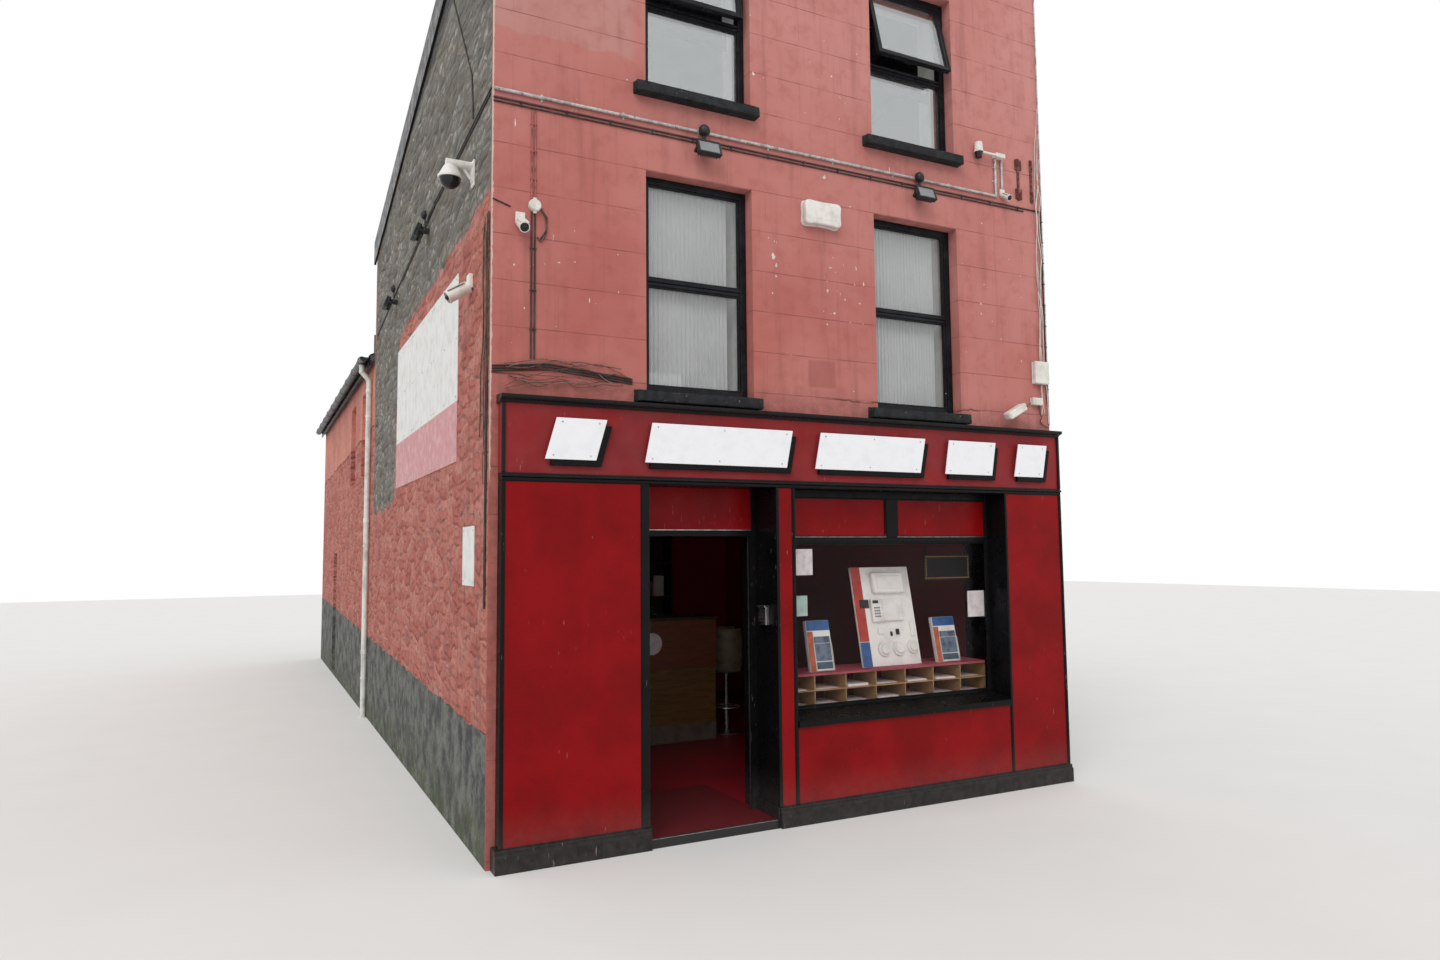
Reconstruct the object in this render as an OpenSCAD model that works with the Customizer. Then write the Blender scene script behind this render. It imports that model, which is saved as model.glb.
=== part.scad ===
/* [Building] */
// Width of the street front
front_w = 5200; // [5000:50:5800]
// Depth of the three storey block, from the street face to its rear corner
main_d = 6420; // [6000:20:7400]
// Thickness of the rendered front wall
front_wall_t = 450; // [420:10:480]
// Thickness of the rubble gable wall
gable_wall_t = 450; // [420:10:480]
// Thickness of the party wall shared with the next house
party_wall_t = 300; // [260:10:330]
// Thickness of the rear walls
rear_wall_t = 400; // [340:10:460]
// Height of the front parapet under its coping
parapet_z = 7850; // [7750:10:8200]
// Thickness of the coping stones
coping_t = 80; // [50:5:120]
// How far the coping oversails the wall
coping_out = 40; // [10:5:60]
// Length of the two storey return behind the main block
return_len = 8180; // [7000:20:9000]
// Width of the return
return_w = 3000; // [2800:50:3400]
// Height of the return walls at the eaves
return_eaves_z = 4600; // [4500:10:4900]
// Thickness of the return walls
return_wall_t = 350; // [300:10:400]

/* [Storeys] */
// Height of the shop floor above the pavement
floor_z = 60; // [40:5:90]
// Underside of the beam over the shopfront
shop_head_z = 2585; // [2560:5:2620]
// Height of the fascia and of the beam behind it
fascia_h = 565; // [540:5:600]
// Thickness of an upper floor
upper_floor_t = 250; // [180:10:280]
// Top of the first floor
first_floor_z = 2850; // [2840:5:2900]
// Top of the second floor
second_floor_z = 5200; // [5100:10:5300]
// Top of the upper floor in the return
return_floor_z = 2320; // [2310:5:2380]
// Thickness of the upper floor in the return
return_floor_t = 180; // [150:5:185]

/* [Roof] */
// Fall of the main roof towards the rear
roof_pitch = 12.3; // [11:0.1:13]
// Height of the main roof's top plane, carried forward to the street face
roof_z = 7630; // [7560:10:7700]
// Thickness of a roof, measured upright
roof_t = 160; // [120:5:200]
// How far a roof oversails the rear wall
roof_eaves_out = 120; // [60:10:160]
// Depth of the board along the main roof's verge
verge_board_h = 300; // [200:10:360]
// Thickness of the verge board
verge_board_t = 25; // [18:1:32]
// Pitch of the return's roof
return_pitch = 30; // [24:1:36]
// How far the return's roof oversails its side walls
return_eaves_out = 60; // [30:5:90]
// Thickness of the return's roof at its edge
return_edge_t = 60; // [50:5:100]

/* [Upper windows] */
// Width of an upper window opening
win_w = 905; // [860:5:940]
// Left side of the left hand windows
win_left_x = 1151; // [1050:1:1200]
// Left side of the right hand windows
win_right_x = 3242; // [3150:1:3300]
// Sill level of the first floor windows
win1_z = 3260; // [3240:5:3330]
// Height of a first floor window opening
win1_h = 1670; // [1600:5:1720]
// Sill level of the second floor windows
win2_z = 5597; // [5540:1:5650]
// Height of a second floor window opening
win2_h = 1470; // [1420:5:1520]
// Depth of the reveal in front of an upper window
reveal_d = 105; // [90:5:130]
// Face width of a window frame
frame_w = 55; // [45:1:65]
// Depth of a window frame
frame_d = 70; // [60:1:85]
// Height of the lower light of a first floor window
low_light1_h = 800; // [760:5:840]
// Height of the lower light of a second floor window
low_light2_h = 655; // [620:5:690]
// Thickness of a sealed glass unit
glass_t = 20; // [14:1:26]
// Opening angle of the left hand top sash
open_left = 8; // [6:0.5:12]
// Opening angle of the right hand top sash
open_right = 14; // [8:0.5:18]
// Thickness of a window sill
sill_t = 95; // [80:5:110]
// How far a sill stands out of the wall
sill_out = 87; // [60:1:100]
// How far a sill runs past its opening on the left
sill_left = 100; // [60:5:120]
// How far a sill runs past its opening on the right
sill_right = 40; // [30:5:100]
// Width of a rear or yard window
rear_win_w = 900; // [800:10:960]
// Height of a rear or upper yard window
rear_win_h = 1300; // [1200:10:1350]
// Height of a lower yard window
yard_win_h = 900; // [800:10:950]
// Sill level of the lower yard windows
yard_win0_z = 1060; // [1000:10:1100]
// Sill level of the upper yard windows
yard_win1_z = 3000; // [2950:10:3100]
// Sill level of the rear window
rear_win_z = 3500; // [3400:10:3600]
// Thickness of the white boards that line a window's inner reveal
inner_t = 15; // [10:1:20]

/* [Shopfront] */
// How far the shopfront stands out of the wall
shop_out = 104; // [90:1:120]
// Width of the black edge strips
trim_w = 25; // [20:1:30]
// Left end of the shopfront
shop_x0 = 60; // [40:1:80]
// Left side of the porch
porch_x0 = 1128; // [1120:1:1140]
// Width of the porch
porch_w = 1052; // [1040:1:1070]
// Width of the black stile at the left of the porch
stile_w = 61; // [50:1:70]
// Depth from the wall face to the door frame
porch_d = 235; // [200:5:250]
// Width of the post between the porch and the shop window
post_w = 173; // [165:1:185]
// Width of the shop window recess
shop_win_w = 2162; // [2150:2:2180]
// Depth from the wall face to the shop window frame
shop_win_d = 100; // [80:5:105]
// Height of the black plinth
plinth_h = 150; // [120:5:180]
// How far the plinth stands out in front of the shopfront
plinth_out = 30; // [20:1:40]
// Front height of the window ledge
ledge_z = 770; // [740:5:790]
// Rise of the window ledge from its nose to the glass
ledge_rise = 45; // [20:5:60]
// Thickness of the ledge's nose
ledge_t = 45; // [35:5:60]
// How far a flat panel lies behind its edge strips
panel_set = 10; // [6:1:14]
// Height of the moulding under the fascia
bottom_mould_h = 30; // [20:1:36]
// Height of the cornice moulding over the fascia
cornice_h = 60; // [50:1:70]
// How far the cornice stands out in front of the fascia
cornice_out = 45; // [30:1:60]
// Thickness of the lining boards in the porch and the window recess
lining_t = 20; // [15:1:24]

/* [Sign boards] */
// Bottom of the raised boards on the fascia
board_z = 2712; // [2700:1:2730]
// Height of the raised boards
board_h = 290; // [270:5:300]
// Sideways lean of a raised board's ends
board_lean = 38; // [20:1:50]
// Thickness of a raised board
board_t = 18; // [12:1:24]
// Front end of the large plate on the gable
side_sign_y = 1080; // [1000:10:1150]
// Length of the large plate on the gable
side_sign_w = 3250; // [3000:10:3400]
// Bottom of the large plate on the gable
side_sign_z = 2790; // [2700:10:2850]
// Height of the large plate on the gable
side_sign_h = 1500; // [1400:10:1550]
// Thickness of the plates on the gable
plate_t = 6; // [4:1:10]

/* [Doors] */
// Width of a door jamb
jamb_w = 40; // [35:1:45]
// Depth of the door frame
door_frame_d = 70; // [64:1:76]
// Underside of the shop door's head
door_head_z = 2192; // [2150:1:2200]
// Height of the door head
door_head_h = 48; // [40:1:60]
// Thickness of the door leaf
leaf_t = 44; // [40:1:48]
// Running gap round the door leaf
leaf_gap = 8; // [7:0.5:10]
// Width of the leaf's stiles and top rail
leaf_stile = 115; // [95:5:130]
// Height of the leaf's bottom rail
leaf_bottom = 640; // [560:10:700]
// Distance from the frame's inner face to the hinge line
hinge_out = 8; // [7:0.5:10]
// Width of the side doorway
side_door_w = 620; // [600:10:760]
// Top of the side doorway
side_door_z1 = 2120; // [2060:10:2130]
// Distance from the three storey block to the side doorway
side_door_off = 4960; // [4600:20:5400]

/* [Shop interior] */
// Distance from the street face to the counter
counter_y = 2870; // [2800:10:3000]
// Width of the counter
counter_w = 1700; // [1500:10:1800]
// Depth of the counter
counter_d = 600; // [500:10:700]
// Height of the counter above the shop floor
counter_h = 1320; // [1200:10:1350]
// Distance from the street face to the front of the pigeonhole unit
unit_y = 172; // [168:1:190]
// Number of columns of pigeonholes
unit_cols = 7; // [5:1:7]
// Width from one divider to the next
unit_pitch = 303; // [296:1:304]
// Height from one shelf to the next
unit_row_h = 124; // [118:1:128]
// Depth of the pigeonhole unit
unit_d = 330; // [300:5:360]
// Thickness of the boards of the pigeonhole unit
unit_t = 9; // [7:0.5:11]

/* [Wall fittings] */
// Height of the conduit along the front wall
conduit_z = 5310; // [5290:5:5400]
// Radius of the conduit
conduit_r = 12; // [8:1:13]
// Radius of a cable
cable_r = 6; // [4:0.5:7]
// Width of the alarm sounder
sounder_w = 360; // [300:10:400]
// Height of the alarm sounder
sounder_h = 212; // [180:2:240]
// Radius of the ball camera on the gable
ball_r = 80; // [60:5:90]
// Distance from the gable to the middle of the ball camera
ball_reach = 175; // [150:5:200]
// Width of a floodlight
lamp_w = 195; // [160:5:220]

/* [Hidden] */
$fn = 40;

shop_z1 = shop_head_z + fascia_h;
main_x1 = front_w - party_wall_t;
rear_y = main_d - rear_wall_t;
return_y1 = main_d + return_len;
porch_x1 = porch_x0 + porch_w;
shop_win_x0 = porch_x1 + post_w;
shop_win_x1 = shop_win_x0 + shop_win_w;
panel_z1 = shop_head_z - trim_w;
unit_x0 = shop_win_x0 + (shop_win_w - unit_cols * unit_pitch) / 2;
unit_x1 = unit_x0 + unit_cols * unit_pitch;
unit_z = ledge_z + ledge_rise;
unit_top_z = unit_z + 2 * unit_row_h;
door_y0 = porch_d;
door_y1 = porch_d + door_frame_d;
door_x0 = porch_x0 + jamb_w;
door_x1 = porch_x1 - jamb_w;
leaf_out = leaf_gap - 2;
leaf_z0 = floor_z + leaf_gap + 2;
side_head_z = side_door_z1 - door_head_h;
rear_win_x = (return_w + main_x1 - rear_win_w) / 2;
rear_frame_y = main_d - reveal_d - frame_d;
seat_gap = 0.3;

// The five raised boards on the fascia, placed as shares of the front's width
board_x = [for (share = [0.0673, 0.2088, 0.4862, 0.7377, 0.8883]) share * front_w];
board_w = [for (share = [0.0779, 0.2346, 0.2077, 0.1077, 0.0731]) share * front_w];

red_paint = "#7e1418";
black_paint = "#1c1b1f";
render_red = "#b5625a";
stone_grey = "#77736c";

// Height of the main roof's top plane at a distance from the street
function roof_top(y) = roof_z - y * tan(roof_pitch);

// Straight box between two corners
module block(a, b) {
    translate(a) cube([b.x - a.x, b.y - a.y, b.z - a.z]);
}

// Round bar between two points
module bar(a, b, r) {
    v = b - a;
    len = norm(v);
    translate(a) rotate([0, acos(v.z / len), atan2(v.y, v.x)]) cylinder(h = len, r = r, $fn = 16);
}

// Size of the ball at a bend against the bars it joins
bend_swell = 1.1;

// Distance from a wall to the middle of a strand laid on it
function lay(points, r) = seat_gap + r * (len(points) > 2 ? bend_swell : 1);

// Round bars joined along a list of points, with a ball at each bend
module strand(points, r) {
    for (i = [1 : len(points) - 1]) bar(points[i - 1], points[i], r);
    if (len(points) > 2)
        for (i = [1 : len(points) - 2]) translate(points[i]) sphere(r = bend_swell * r, $fn = 16);
}

// Outline in Y and Z, run along X from x0 to x1
module along_x(x0, x1, outline) {
    translate([x0, 0, 0]) rotate([90, 0, 90]) linear_extrude(x1 - x0) polygon(outline);
}

// Outline in X and Z, run along Y from y0 to y1
module along_y(y0, y1, outline) {
    translate([0, y1, 0]) rotate([90, 0, 0]) linear_extrude(y1 - y0) polygon(outline);
}

// Shop floor, with the tongue that carries it out to the pavement through the porch
module ground_slab() {
    color(stone_grey) {
        block([gable_wall_t, front_wall_t, 0], [main_x1, rear_y, floor_z]);
        block([porch_x0, -shop_out, 0], [porch_x1, front_wall_t, floor_z - 20]);
        block([return_wall_t, main_d, 0], [return_w - return_wall_t, return_y1 - return_wall_t, floor_z]);
    }
}

// Masonry beside the porch and the shop window, with the low wall under the window
module shop_piers() {
    color(render_red) {
        block([0, 0, 0], [porch_x0 - lining_t, front_wall_t, shop_head_z]);
        difference() {
            block([porch_x1 + lining_t, 0, 0], [front_w, front_wall_t, shop_head_z]);
            block([shop_win_x0 - lining_t, -1, ledge_z - ledge_t],
                [shop_win_x1 + lining_t, front_wall_t + 1, shop_head_z + 1]);
        }
    }
}

// Beam that carries the upper wall over the shopfront
module shop_beam() {
    color(render_red) block([0, 0, shop_head_z], [front_w, front_wall_t, shop_z1]);
}

// Opening for a pair of upper windows
module window_holes(z, h) {
    for (x = [win_left_x, win_right_x])
        block([x, -1, z], [x + win_w, front_wall_t + 1, z + h]);
}

module front_wall_first() {
    color(render_red) difference() {
        block([0, 0, shop_z1], [front_w, front_wall_t, second_floor_z]);
        window_holes(win1_z, win1_h);
        sill_seats(win1_z);
    }
}

module front_wall_second() {
    color(render_red) difference() {
        block([0, 0, second_floor_z], [front_w, front_wall_t, parapet_z]);
        window_holes(win2_z, win2_h);
        sill_seats(win2_z);
    }
}

module parapet_coping() {
    color(stone_grey)
        block([-coping_out, -coping_out, parapet_z],
            [front_w, front_wall_t + coping_out, parapet_z + coping_t]);
}

// Height of a wall that carries the main roof, at a distance from the street
function wall_top(y) = roof_top(y) - roof_t - seat_gap;

// Outline of a wall under the main roof, from y0 to y1
function under_roof(y0, y1) = [[y0, 0], [y1, 0], [y1, wall_top(y1)], [y0, wall_top(y0)]];

module gable_wall() {
    color(stone_grey) along_x(0, gable_wall_t, under_roof(front_wall_t, main_d));
}

module party_wall() {
    color(stone_grey) along_x(main_x1, front_w, under_roof(front_wall_t, main_d));
}

module rear_wall() {
    color(stone_grey) difference() {
        along_x(gable_wall_t, main_x1, under_roof(rear_y, main_d));
        block([rear_win_x, rear_y - 1, rear_win_z],
            [rear_win_x + rear_win_w, main_d + 1, rear_win_z + rear_win_h]);
    }
}

module upper_floors() {
    color("#8a6a48") {
        for (z = [first_floor_z, second_floor_z])
            block([gable_wall_t, front_wall_t, z - upper_floor_t], [main_x1, rear_y, z]);
        block([return_wall_t, main_d, return_floor_z - return_floor_t],
            [return_w - return_wall_t, return_y1 - return_wall_t, return_floor_z]);
    }
}

// Slated roof that falls from behind the parapet to the rear
module main_roof() {
    y1 = main_d + roof_eaves_out;
    color("#4a4b4f") along_x(0, front_w, [
        [front_wall_t, roof_top(front_wall_t) - roof_t], [y1, roof_top(y1) - roof_t],
        [y1, roof_top(y1)], [front_wall_t, roof_top(front_wall_t)]
    ]);
}

// Board along the main roof's verge, and boards under the eaves that carry the return's gutters
module roof_edge_boards() {
    y1 = main_d + roof_eaves_out;
    color(black_paint) {
        along_x(-verge_board_t, 0, [
            [front_wall_t, roof_top(front_wall_t) - verge_board_h], [y1, roof_top(y1) - verge_board_h],
            [y1, roof_top(y1)], [front_wall_t, roof_top(front_wall_t)]
        ]);
        eaves_board(-return_eaves_out - eaves_board_t);
        eaves_board(return_w + return_eaves_out);
    }
}

module eaves_board(x) {
    block([x, main_d, return_eaves_z - 70], [x + eaves_board_t, return_y1, return_eaves_z + return_edge_t]);
}

// Stone sill under a front window, bedded across the reveal
module sill(x, z) {
    block([x - sill_left, -sill_out, z - sill_t], [x + win_w + sill_right, reveal_d + frame_d, z]);
}

// Seats cut in the front wall for the two sills of a storey
module sill_seats(z) {
    for (x = [win_left_x, win_right_x]) sill(x, z);
}

module window_sills() {
    color("#43464a") {
        for (z = [win1_z, win2_z]) sill_seats(z);
        block([rear_win_x, main_d, rear_win_z - sill_t],
            [rear_win_x + rear_win_w, main_d + sill_out, rear_win_z]);
        for (i = [0 : 3]) at_yard_window(i) block([0, -sill_out, -sill_t], [rear_win_w, 0, 0]);
    }
}

yard_win_y = [main_d + 750, main_d + 3640];

// Height of yard window i: two lower ones, then two upper ones
function yard_h(i) = i < 2 ? yard_win_h : rear_win_h;

// Places yard window i; children are drawn facing the street, with the sill's left end at the origin
module at_yard_window(i) {
    translate([return_w, yard_win_y[i % 2], i < 2 ? yard_win0_z : yard_win1_z])
        rotate([0, 0, 90]) children();
}

// Window frame with two lights, the lower one low_h high; its outer face lies at y
module window_frame(x, y, z, w, h, low_h) {
    rail_z = z + frame_w + low_h;
    difference() {
        block([x, y, z], [x + w, y + frame_d, z + h]);
        block([x + frame_w, y - 1, z + frame_w], [x + w - frame_w, y + frame_d + 1, rail_z - frame_w / 2]);
        block([x + frame_w, y - 1, rail_z + frame_w / 2],
            [x + w - frame_w, y + frame_d + 1, z + h - frame_w]);
    }
}

// Height of the lower light of a rear or yard window h high
function low_share(h) = 0.48 * h;
rear_low_h = low_share(rear_win_h);

module window_frames() {
    color(black_paint) {
        for (x = [win_left_x, win_right_x]) {
            window_frame(x, reveal_d, win1_z, win_w, win1_h, low_light1_h);
            window_frame(x, reveal_d, win2_z, win_w, win2_h, low_light2_h);
        }
        window_frame(rear_win_x, rear_frame_y, rear_win_z, rear_win_w, rear_win_h, rear_low_h);
        for (i = [0 : 3])
            at_yard_window(i) window_frame(0, reveal_d, 0, rear_win_w, yard_h(i), low_share(yard_h(i)));
    }
}

// White boards round the inner reveal of a window, from the frame's back at y0 to the room at y1
module inner_lining(x, y0, y1, z, w, h) {
    difference() {
        block([x, y0, z], [x + w, y1, z + h]);
        block([x + inner_t, y0 - 1, z + inner_t], [x + w - inner_t, y1 + 1, z + h - inner_t]);
    }
}

module inner_linings() {
    frame_back = reveal_d + frame_d;
    color("white") {
        for (x = [win_left_x, win_right_x]) {
            inner_lining(x, frame_back, front_wall_t, win1_z, win_w, win1_h);
            inner_lining(x, frame_back, front_wall_t, win2_z, win_w, win2_h);
        }
        inner_lining(rear_win_x, rear_y, rear_frame_y, rear_win_z, rear_win_w, rear_win_h);
        for (i = [0 : 3])
            at_yard_window(i) inner_lining(0, frame_back, return_wall_t, 0, rear_win_w, yard_h(i));
    }
}

// Guard rails behind the lower lights of the second floor windows
module window_rails() {
    y0 = reveal_d + frame_d;
    z2 = win2_z + frame_w + low_light2_h;
    z1 = z2 - 75;
    z0 = z1 - 90;
    color(black_paint)
        for (x = [win_left_x, win_right_x]) {
            x0 = x + inner_t + seat_gap;
            x1 = x + win_w - 120;
            block([x0, y0, z0], [x1, y0 + 22, z1]);
            for (t = [(x0 + x1) / 2 - 6, x1 - 14]) block([t, y0, z1], [t + 14, y0 + 22, z2]);
        }
}

// Top of the mid rail of a second floor window
sash_z0 = win2_z + frame_w + low_light2_h + frame_w / 2;
sash_z1 = win2_z + win2_h - frame_w;
sash_bar = 38;
sash_gap = 4;

// Places a top hung sash at its opening angle; children are drawn shut, hung from the origin
module hung_sash(x, angle) {
    translate([x + frame_w + sash_gap, reveal_d, sash_z1 - seat_gap]) rotate([-angle, 0, 0]) children();
}

sash_w = win_w - 2 * frame_w - 2 * sash_gap;
sash_h = sash_z1 - sash_z0 - seat_gap - sash_gap;
sash_t = 45;

module opener_sash() {
    difference() {
        block([0, 0, -sash_h], [sash_w, sash_t, 0]);
        block([sash_bar, -1, sash_bar - sash_h], [sash_w - sash_bar, sash_t + 1, -sash_bar]);
    }
}

module opener_glass() {
    y0 = (sash_t - glass_t) / 2;
    block([sash_bar, y0, sash_bar - sash_h], [sash_w - sash_bar, y0 + glass_t, -sash_bar]);
}

module opener_sashes() {
    color(black_paint) {
        hung_sash(win_left_x, open_left) opener_sash();
        hung_sash(win_right_x, open_right) opener_sash();
    }
}

// Glass of the two lights of a frame; only the lower one where the top light is a sash
module light_glass(x, y, z, w, h, low_h, both) {
    rail_z = z + frame_w + low_h;
    y0 = y + (frame_d - glass_t) / 2;
    block([x + frame_w, y0, z + frame_w], [x + w - frame_w, y0 + glass_t, rail_z - frame_w / 2]);
    if (both)
        block([x + frame_w, y0, rail_z + frame_w / 2], [x + w - frame_w, y0 + glass_t, z + h - frame_w]);
}

module upper_glass() {
    color("lightblue", 0.4) {
        for (x = [win_left_x, win_right_x]) {
            light_glass(x, reveal_d, win1_z, win_w, win1_h, low_light1_h, true);
            light_glass(x, reveal_d, win2_z, win_w, win2_h, low_light2_h, false);
        }
        light_glass(rear_win_x, rear_frame_y, rear_win_z, rear_win_w, rear_win_h, rear_low_h, true);
        for (i = [0 : 3])
            at_yard_window(i)
                light_glass(0, reveal_d, 0, rear_win_w, yard_h(i), low_share(yard_h(i)), true);
        hung_sash(win_left_x, open_left) opener_glass();
        hung_sash(win_right_x, open_right) opener_glass();
    }
}

// Net curtains of the first floor, hung just behind the frames
curtain_y = reveal_d + frame_d + 25;
curtain_t = 30;
curtain_side = inner_t + 5;

module net_curtains() {
    color("white")
        for (x = [win_left_x, win_right_x])
            block([x + curtain_side, curtain_y, win1_z + curtain_side],
                [x + win_w - curtain_side, curtain_y + curtain_t, win1_z + win1_h - inner_t - seat_gap]);
}

// Flat red panels of the shopfront, each framed by black strips
module shop_panels() {
    y0 = panel_set - shop_out;
    color(red_paint) {
        block([shop_x0 + trim_w, y0, plinth_h], [porch_x0 - stile_w, 0, panel_z1]);
        block([porch_x1 + trim_w, y0, plinth_h], [shop_win_x0 - trim_w, 0, panel_z1]);
        block([shop_win_x1 + trim_w, y0, plinth_h], [front_w - trim_w, 0, panel_z1]);
        block([shop_win_x0, y0, plinth_h], [shop_win_x1, 0, ledge_z - ledge_t]);
        block([door_x0, door_y0, door_head_z + door_head_h],
            [door_x1, door_y0 + 20, shop_head_z - lining_t]);
        for (i = [0, 1]) top_panel(i);
    }
}

top_panel_z0 = 2180;
top_panel_z1 = 2505;
top_post_w = 115;
shop_frame_w = 45;
shop_frame_d = 60;
top_panel_w = (shop_win_w - 2 * shop_frame_w - top_post_w) / 2;

// Red panel over the shop glass, left or right of the short post
module top_panel(i) {
    x = shop_win_x0 + shop_frame_w + i * (top_panel_w + top_post_w);
    block([x, shop_win_d + 15, top_panel_z0], [x + top_panel_w, shop_win_d + 35, top_panel_z1]);
}

// Black edge strips and stiles of the shopfront
module shop_trim() {
    color(black_paint) {
        trim_strip(shop_x0, shop_x0 + trim_w);
        trim_strip(porch_x0 - stile_w, porch_x0);
        trim_strip(porch_x1, porch_x1 + trim_w);
        trim_strip(shop_win_x0 - trim_w, shop_win_x0);
        trim_strip(shop_win_x1, shop_win_x1 + trim_w);
        trim_strip(front_w - trim_w, front_w);
        block([shop_x0, -shop_out, panel_z1], [front_w, 0, shop_head_z]);
    }
}

module trim_strip(x0, x1) {
    block([x0, -shop_out, plinth_h], [x1, 0, panel_z1]);
}

plinth_side_t = 12;

// Plinth with a stepped top, in front of the panels and round the porch
module plinth_run(x0, x1) {
    block([x0, -shop_out - plinth_out, 0], [x1, 0, plinth_h - 30]);
    block([x0, -shop_out - plinth_out + 12, plinth_h - 30], [x1, 0, plinth_h]);
}

module shop_plinth() {
    color(black_paint) {
        plinth_run(shop_x0 - plinth_out, porch_x0);
        plinth_run(porch_x1, front_w);
        block([porch_x0, -shop_out, floor_z], [porch_x0 + plinth_side_t, door_y0, plinth_h]);
        block([porch_x1 - plinth_side_t, -shop_out, floor_z], [porch_x1, door_y0, plinth_h]);
    }
}

module fascia_board() {
    z0 = shop_head_z + bottom_mould_h;
    color(red_paint) block([shop_x0, -shop_out + 14, z0], [front_w, 0, shop_z1 - cornice_h]);
}

// Mouldings under and over the fascia, with the upright strips at its ends
module fascia_cornice() {
    color(black_paint) {
        block([shop_x0, -shop_out - 12, shop_head_z], [front_w, 0, shop_head_z + bottom_mould_h]);
        along_x(shop_x0 - 15, front_w, [
            [0, shop_z1 - cornice_h], [-shop_out, shop_z1 - cornice_h],
            [-shop_out - cornice_out, shop_z1 - cornice_h / 2], [-shop_out - cornice_out, shop_z1 - 8],
            [0, shop_z1]
        ]);
    }
}

// Raised leaning board on the fascia
module raised_board(x, w) {
    y = -shop_out + 14;
    along_y(y - board_t - 22, y, [
        [x, board_z], [x + w - board_lean, board_z],
        [x + w, board_z + board_h], [x + board_lean, board_z + board_h]
    ]);
}

module sign_boards() {
    color("white") for (i = [0 : len(board_x) - 1]) raised_board(board_x[i], board_w[i]);
}

// Black boards that line the porch and the shop window recess
module recess_linings() {
    sill_z = ledge_z - ledge_t;
    color(black_paint) {
        block([porch_x0 - lining_t, 0, 0], [porch_x0, front_wall_t, shop_head_z]);
        block([porch_x1, 0, 0], [porch_x1 + lining_t, front_wall_t, shop_head_z]);
        block([porch_x0, 0, shop_head_z - lining_t], [porch_x1, front_wall_t, shop_head_z]);
        block([shop_win_x0 - lining_t, 0, sill_z], [shop_win_x0, front_wall_t, shop_head_z]);
        block([shop_win_x1, 0, sill_z], [shop_win_x1 + lining_t, front_wall_t, shop_head_z]);
        block([shop_win_x0, 0, shop_head_z - lining_t], [shop_win_x1, front_wall_t, shop_head_z]);
    }
}

// Places a door; children are drawn facing the street, with the opening's left side at the origin
module at_shop_door() {
    translate([porch_x0, door_y0, 0]) children();
}

module at_side_door() {
    translate([recess_d, side_door_y + side_door_w, 0]) rotate([0, 0, -90]) children();
}

// Jambs, head, stops and fixed hinge halves of a door in an opening w wide
module door_frame(w, head_z, top_z) {
    stop_y = 20;
    stop_x = jamb_w + 12;
    block([0, 0, floor_z], [jamb_w, door_frame_d, top_z]);
    block([w - jamb_w, 0, floor_z], [w, door_frame_d, top_z]);
    block([jamb_w, 0, head_z], [w - jamb_w, door_frame_d, head_z + door_head_h]);
    block([jamb_w, 0, floor_z], [stop_x, stop_y, head_z]);
    block([w - stop_x, 0, floor_z], [w - jamb_w, stop_y, head_z]);
    at_hinge(0) for (z = hinge_levels(head_z)) frame_hinge(z);
}

module door_frames() {
    color(black_paint) {
        at_shop_door() door_frame(porch_w, door_head_z, shop_head_z - lining_t);
        at_side_door() door_frame(side_door_w, side_head_z, side_door_z1);
    }
}

module threshold() {
    color("#3a3a3e") block([porch_x0, -shop_out, floor_z - 20], [porch_x1, front_wall_t, floor_z]);
}

hinge_side = 2;
knuckle_r = 6.5;
knuckle_h = 30;
pin_r = 4;
pin_gap = 0.3;
flap_t = 3;

// Height of a leaf under a head at head_z
function leaf_h(head_z) = head_z - leaf_gap - leaf_z0;

// Width of the leaf in an opening w wide
function leaf_w(w) = w - 2 * jamb_w - 2 * leaf_gap;

// Levels of a leaf's three hinges
function hinge_levels(head_z) =
    [leaf_z0 + 200, leaf_z0 + leaf_h(head_z) / 2, leaf_z0 + leaf_h(head_z) - 200];

// Moves to a door's hinge line and turns the leaf open by an angle
module at_hinge(angle) {
    translate([jamb_w + hinge_side, door_frame_d + hinge_out, 0]) rotate([0, 0, angle]) children();
}

// Fixed half of a hinge: two knuckles joined by the pin, on a flap screwed to the jamb
module frame_hinge(z) {
    for (s = [-1, 1]) {
        z0 = z + s * knuckle_h - knuckle_h / 2;
        translate([0, 0, z0]) cylinder(h = knuckle_h, r = knuckle_r);
        block([-30, -hinge_out, z0], [0, flap_t - hinge_out, z0 + knuckle_h]);
        block([-flap_t, -hinge_out, z0], [0, 0, z0 + knuckle_h]);
    }
    translate([0, 0, z - 1.5 * knuckle_h]) cylinder(h = 3 * knuckle_h, r = pin_r);
}

// Moving half of a hinge: one knuckle on the pin, on a flap screwed to the leaf
module leaf_hinge(z) {
    h = knuckle_h - 1;
    translate([0, 0, z - h / 2]) difference() {
        union() {
            cylinder(h = h, r = knuckle_r);
            block([0, -hinge_out, 0], [flap_t, 0, h]);
            block([0, -hinge_out, 0], [34, flap_t - hinge_out, h]);
        }
        translate([0, 0, -1]) cylinder(h = h + 2, r = pin_r + pin_gap);
    }
}

leaf_y1 = -hinge_out;
leaf_y0 = leaf_y1 - leaf_t;

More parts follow.
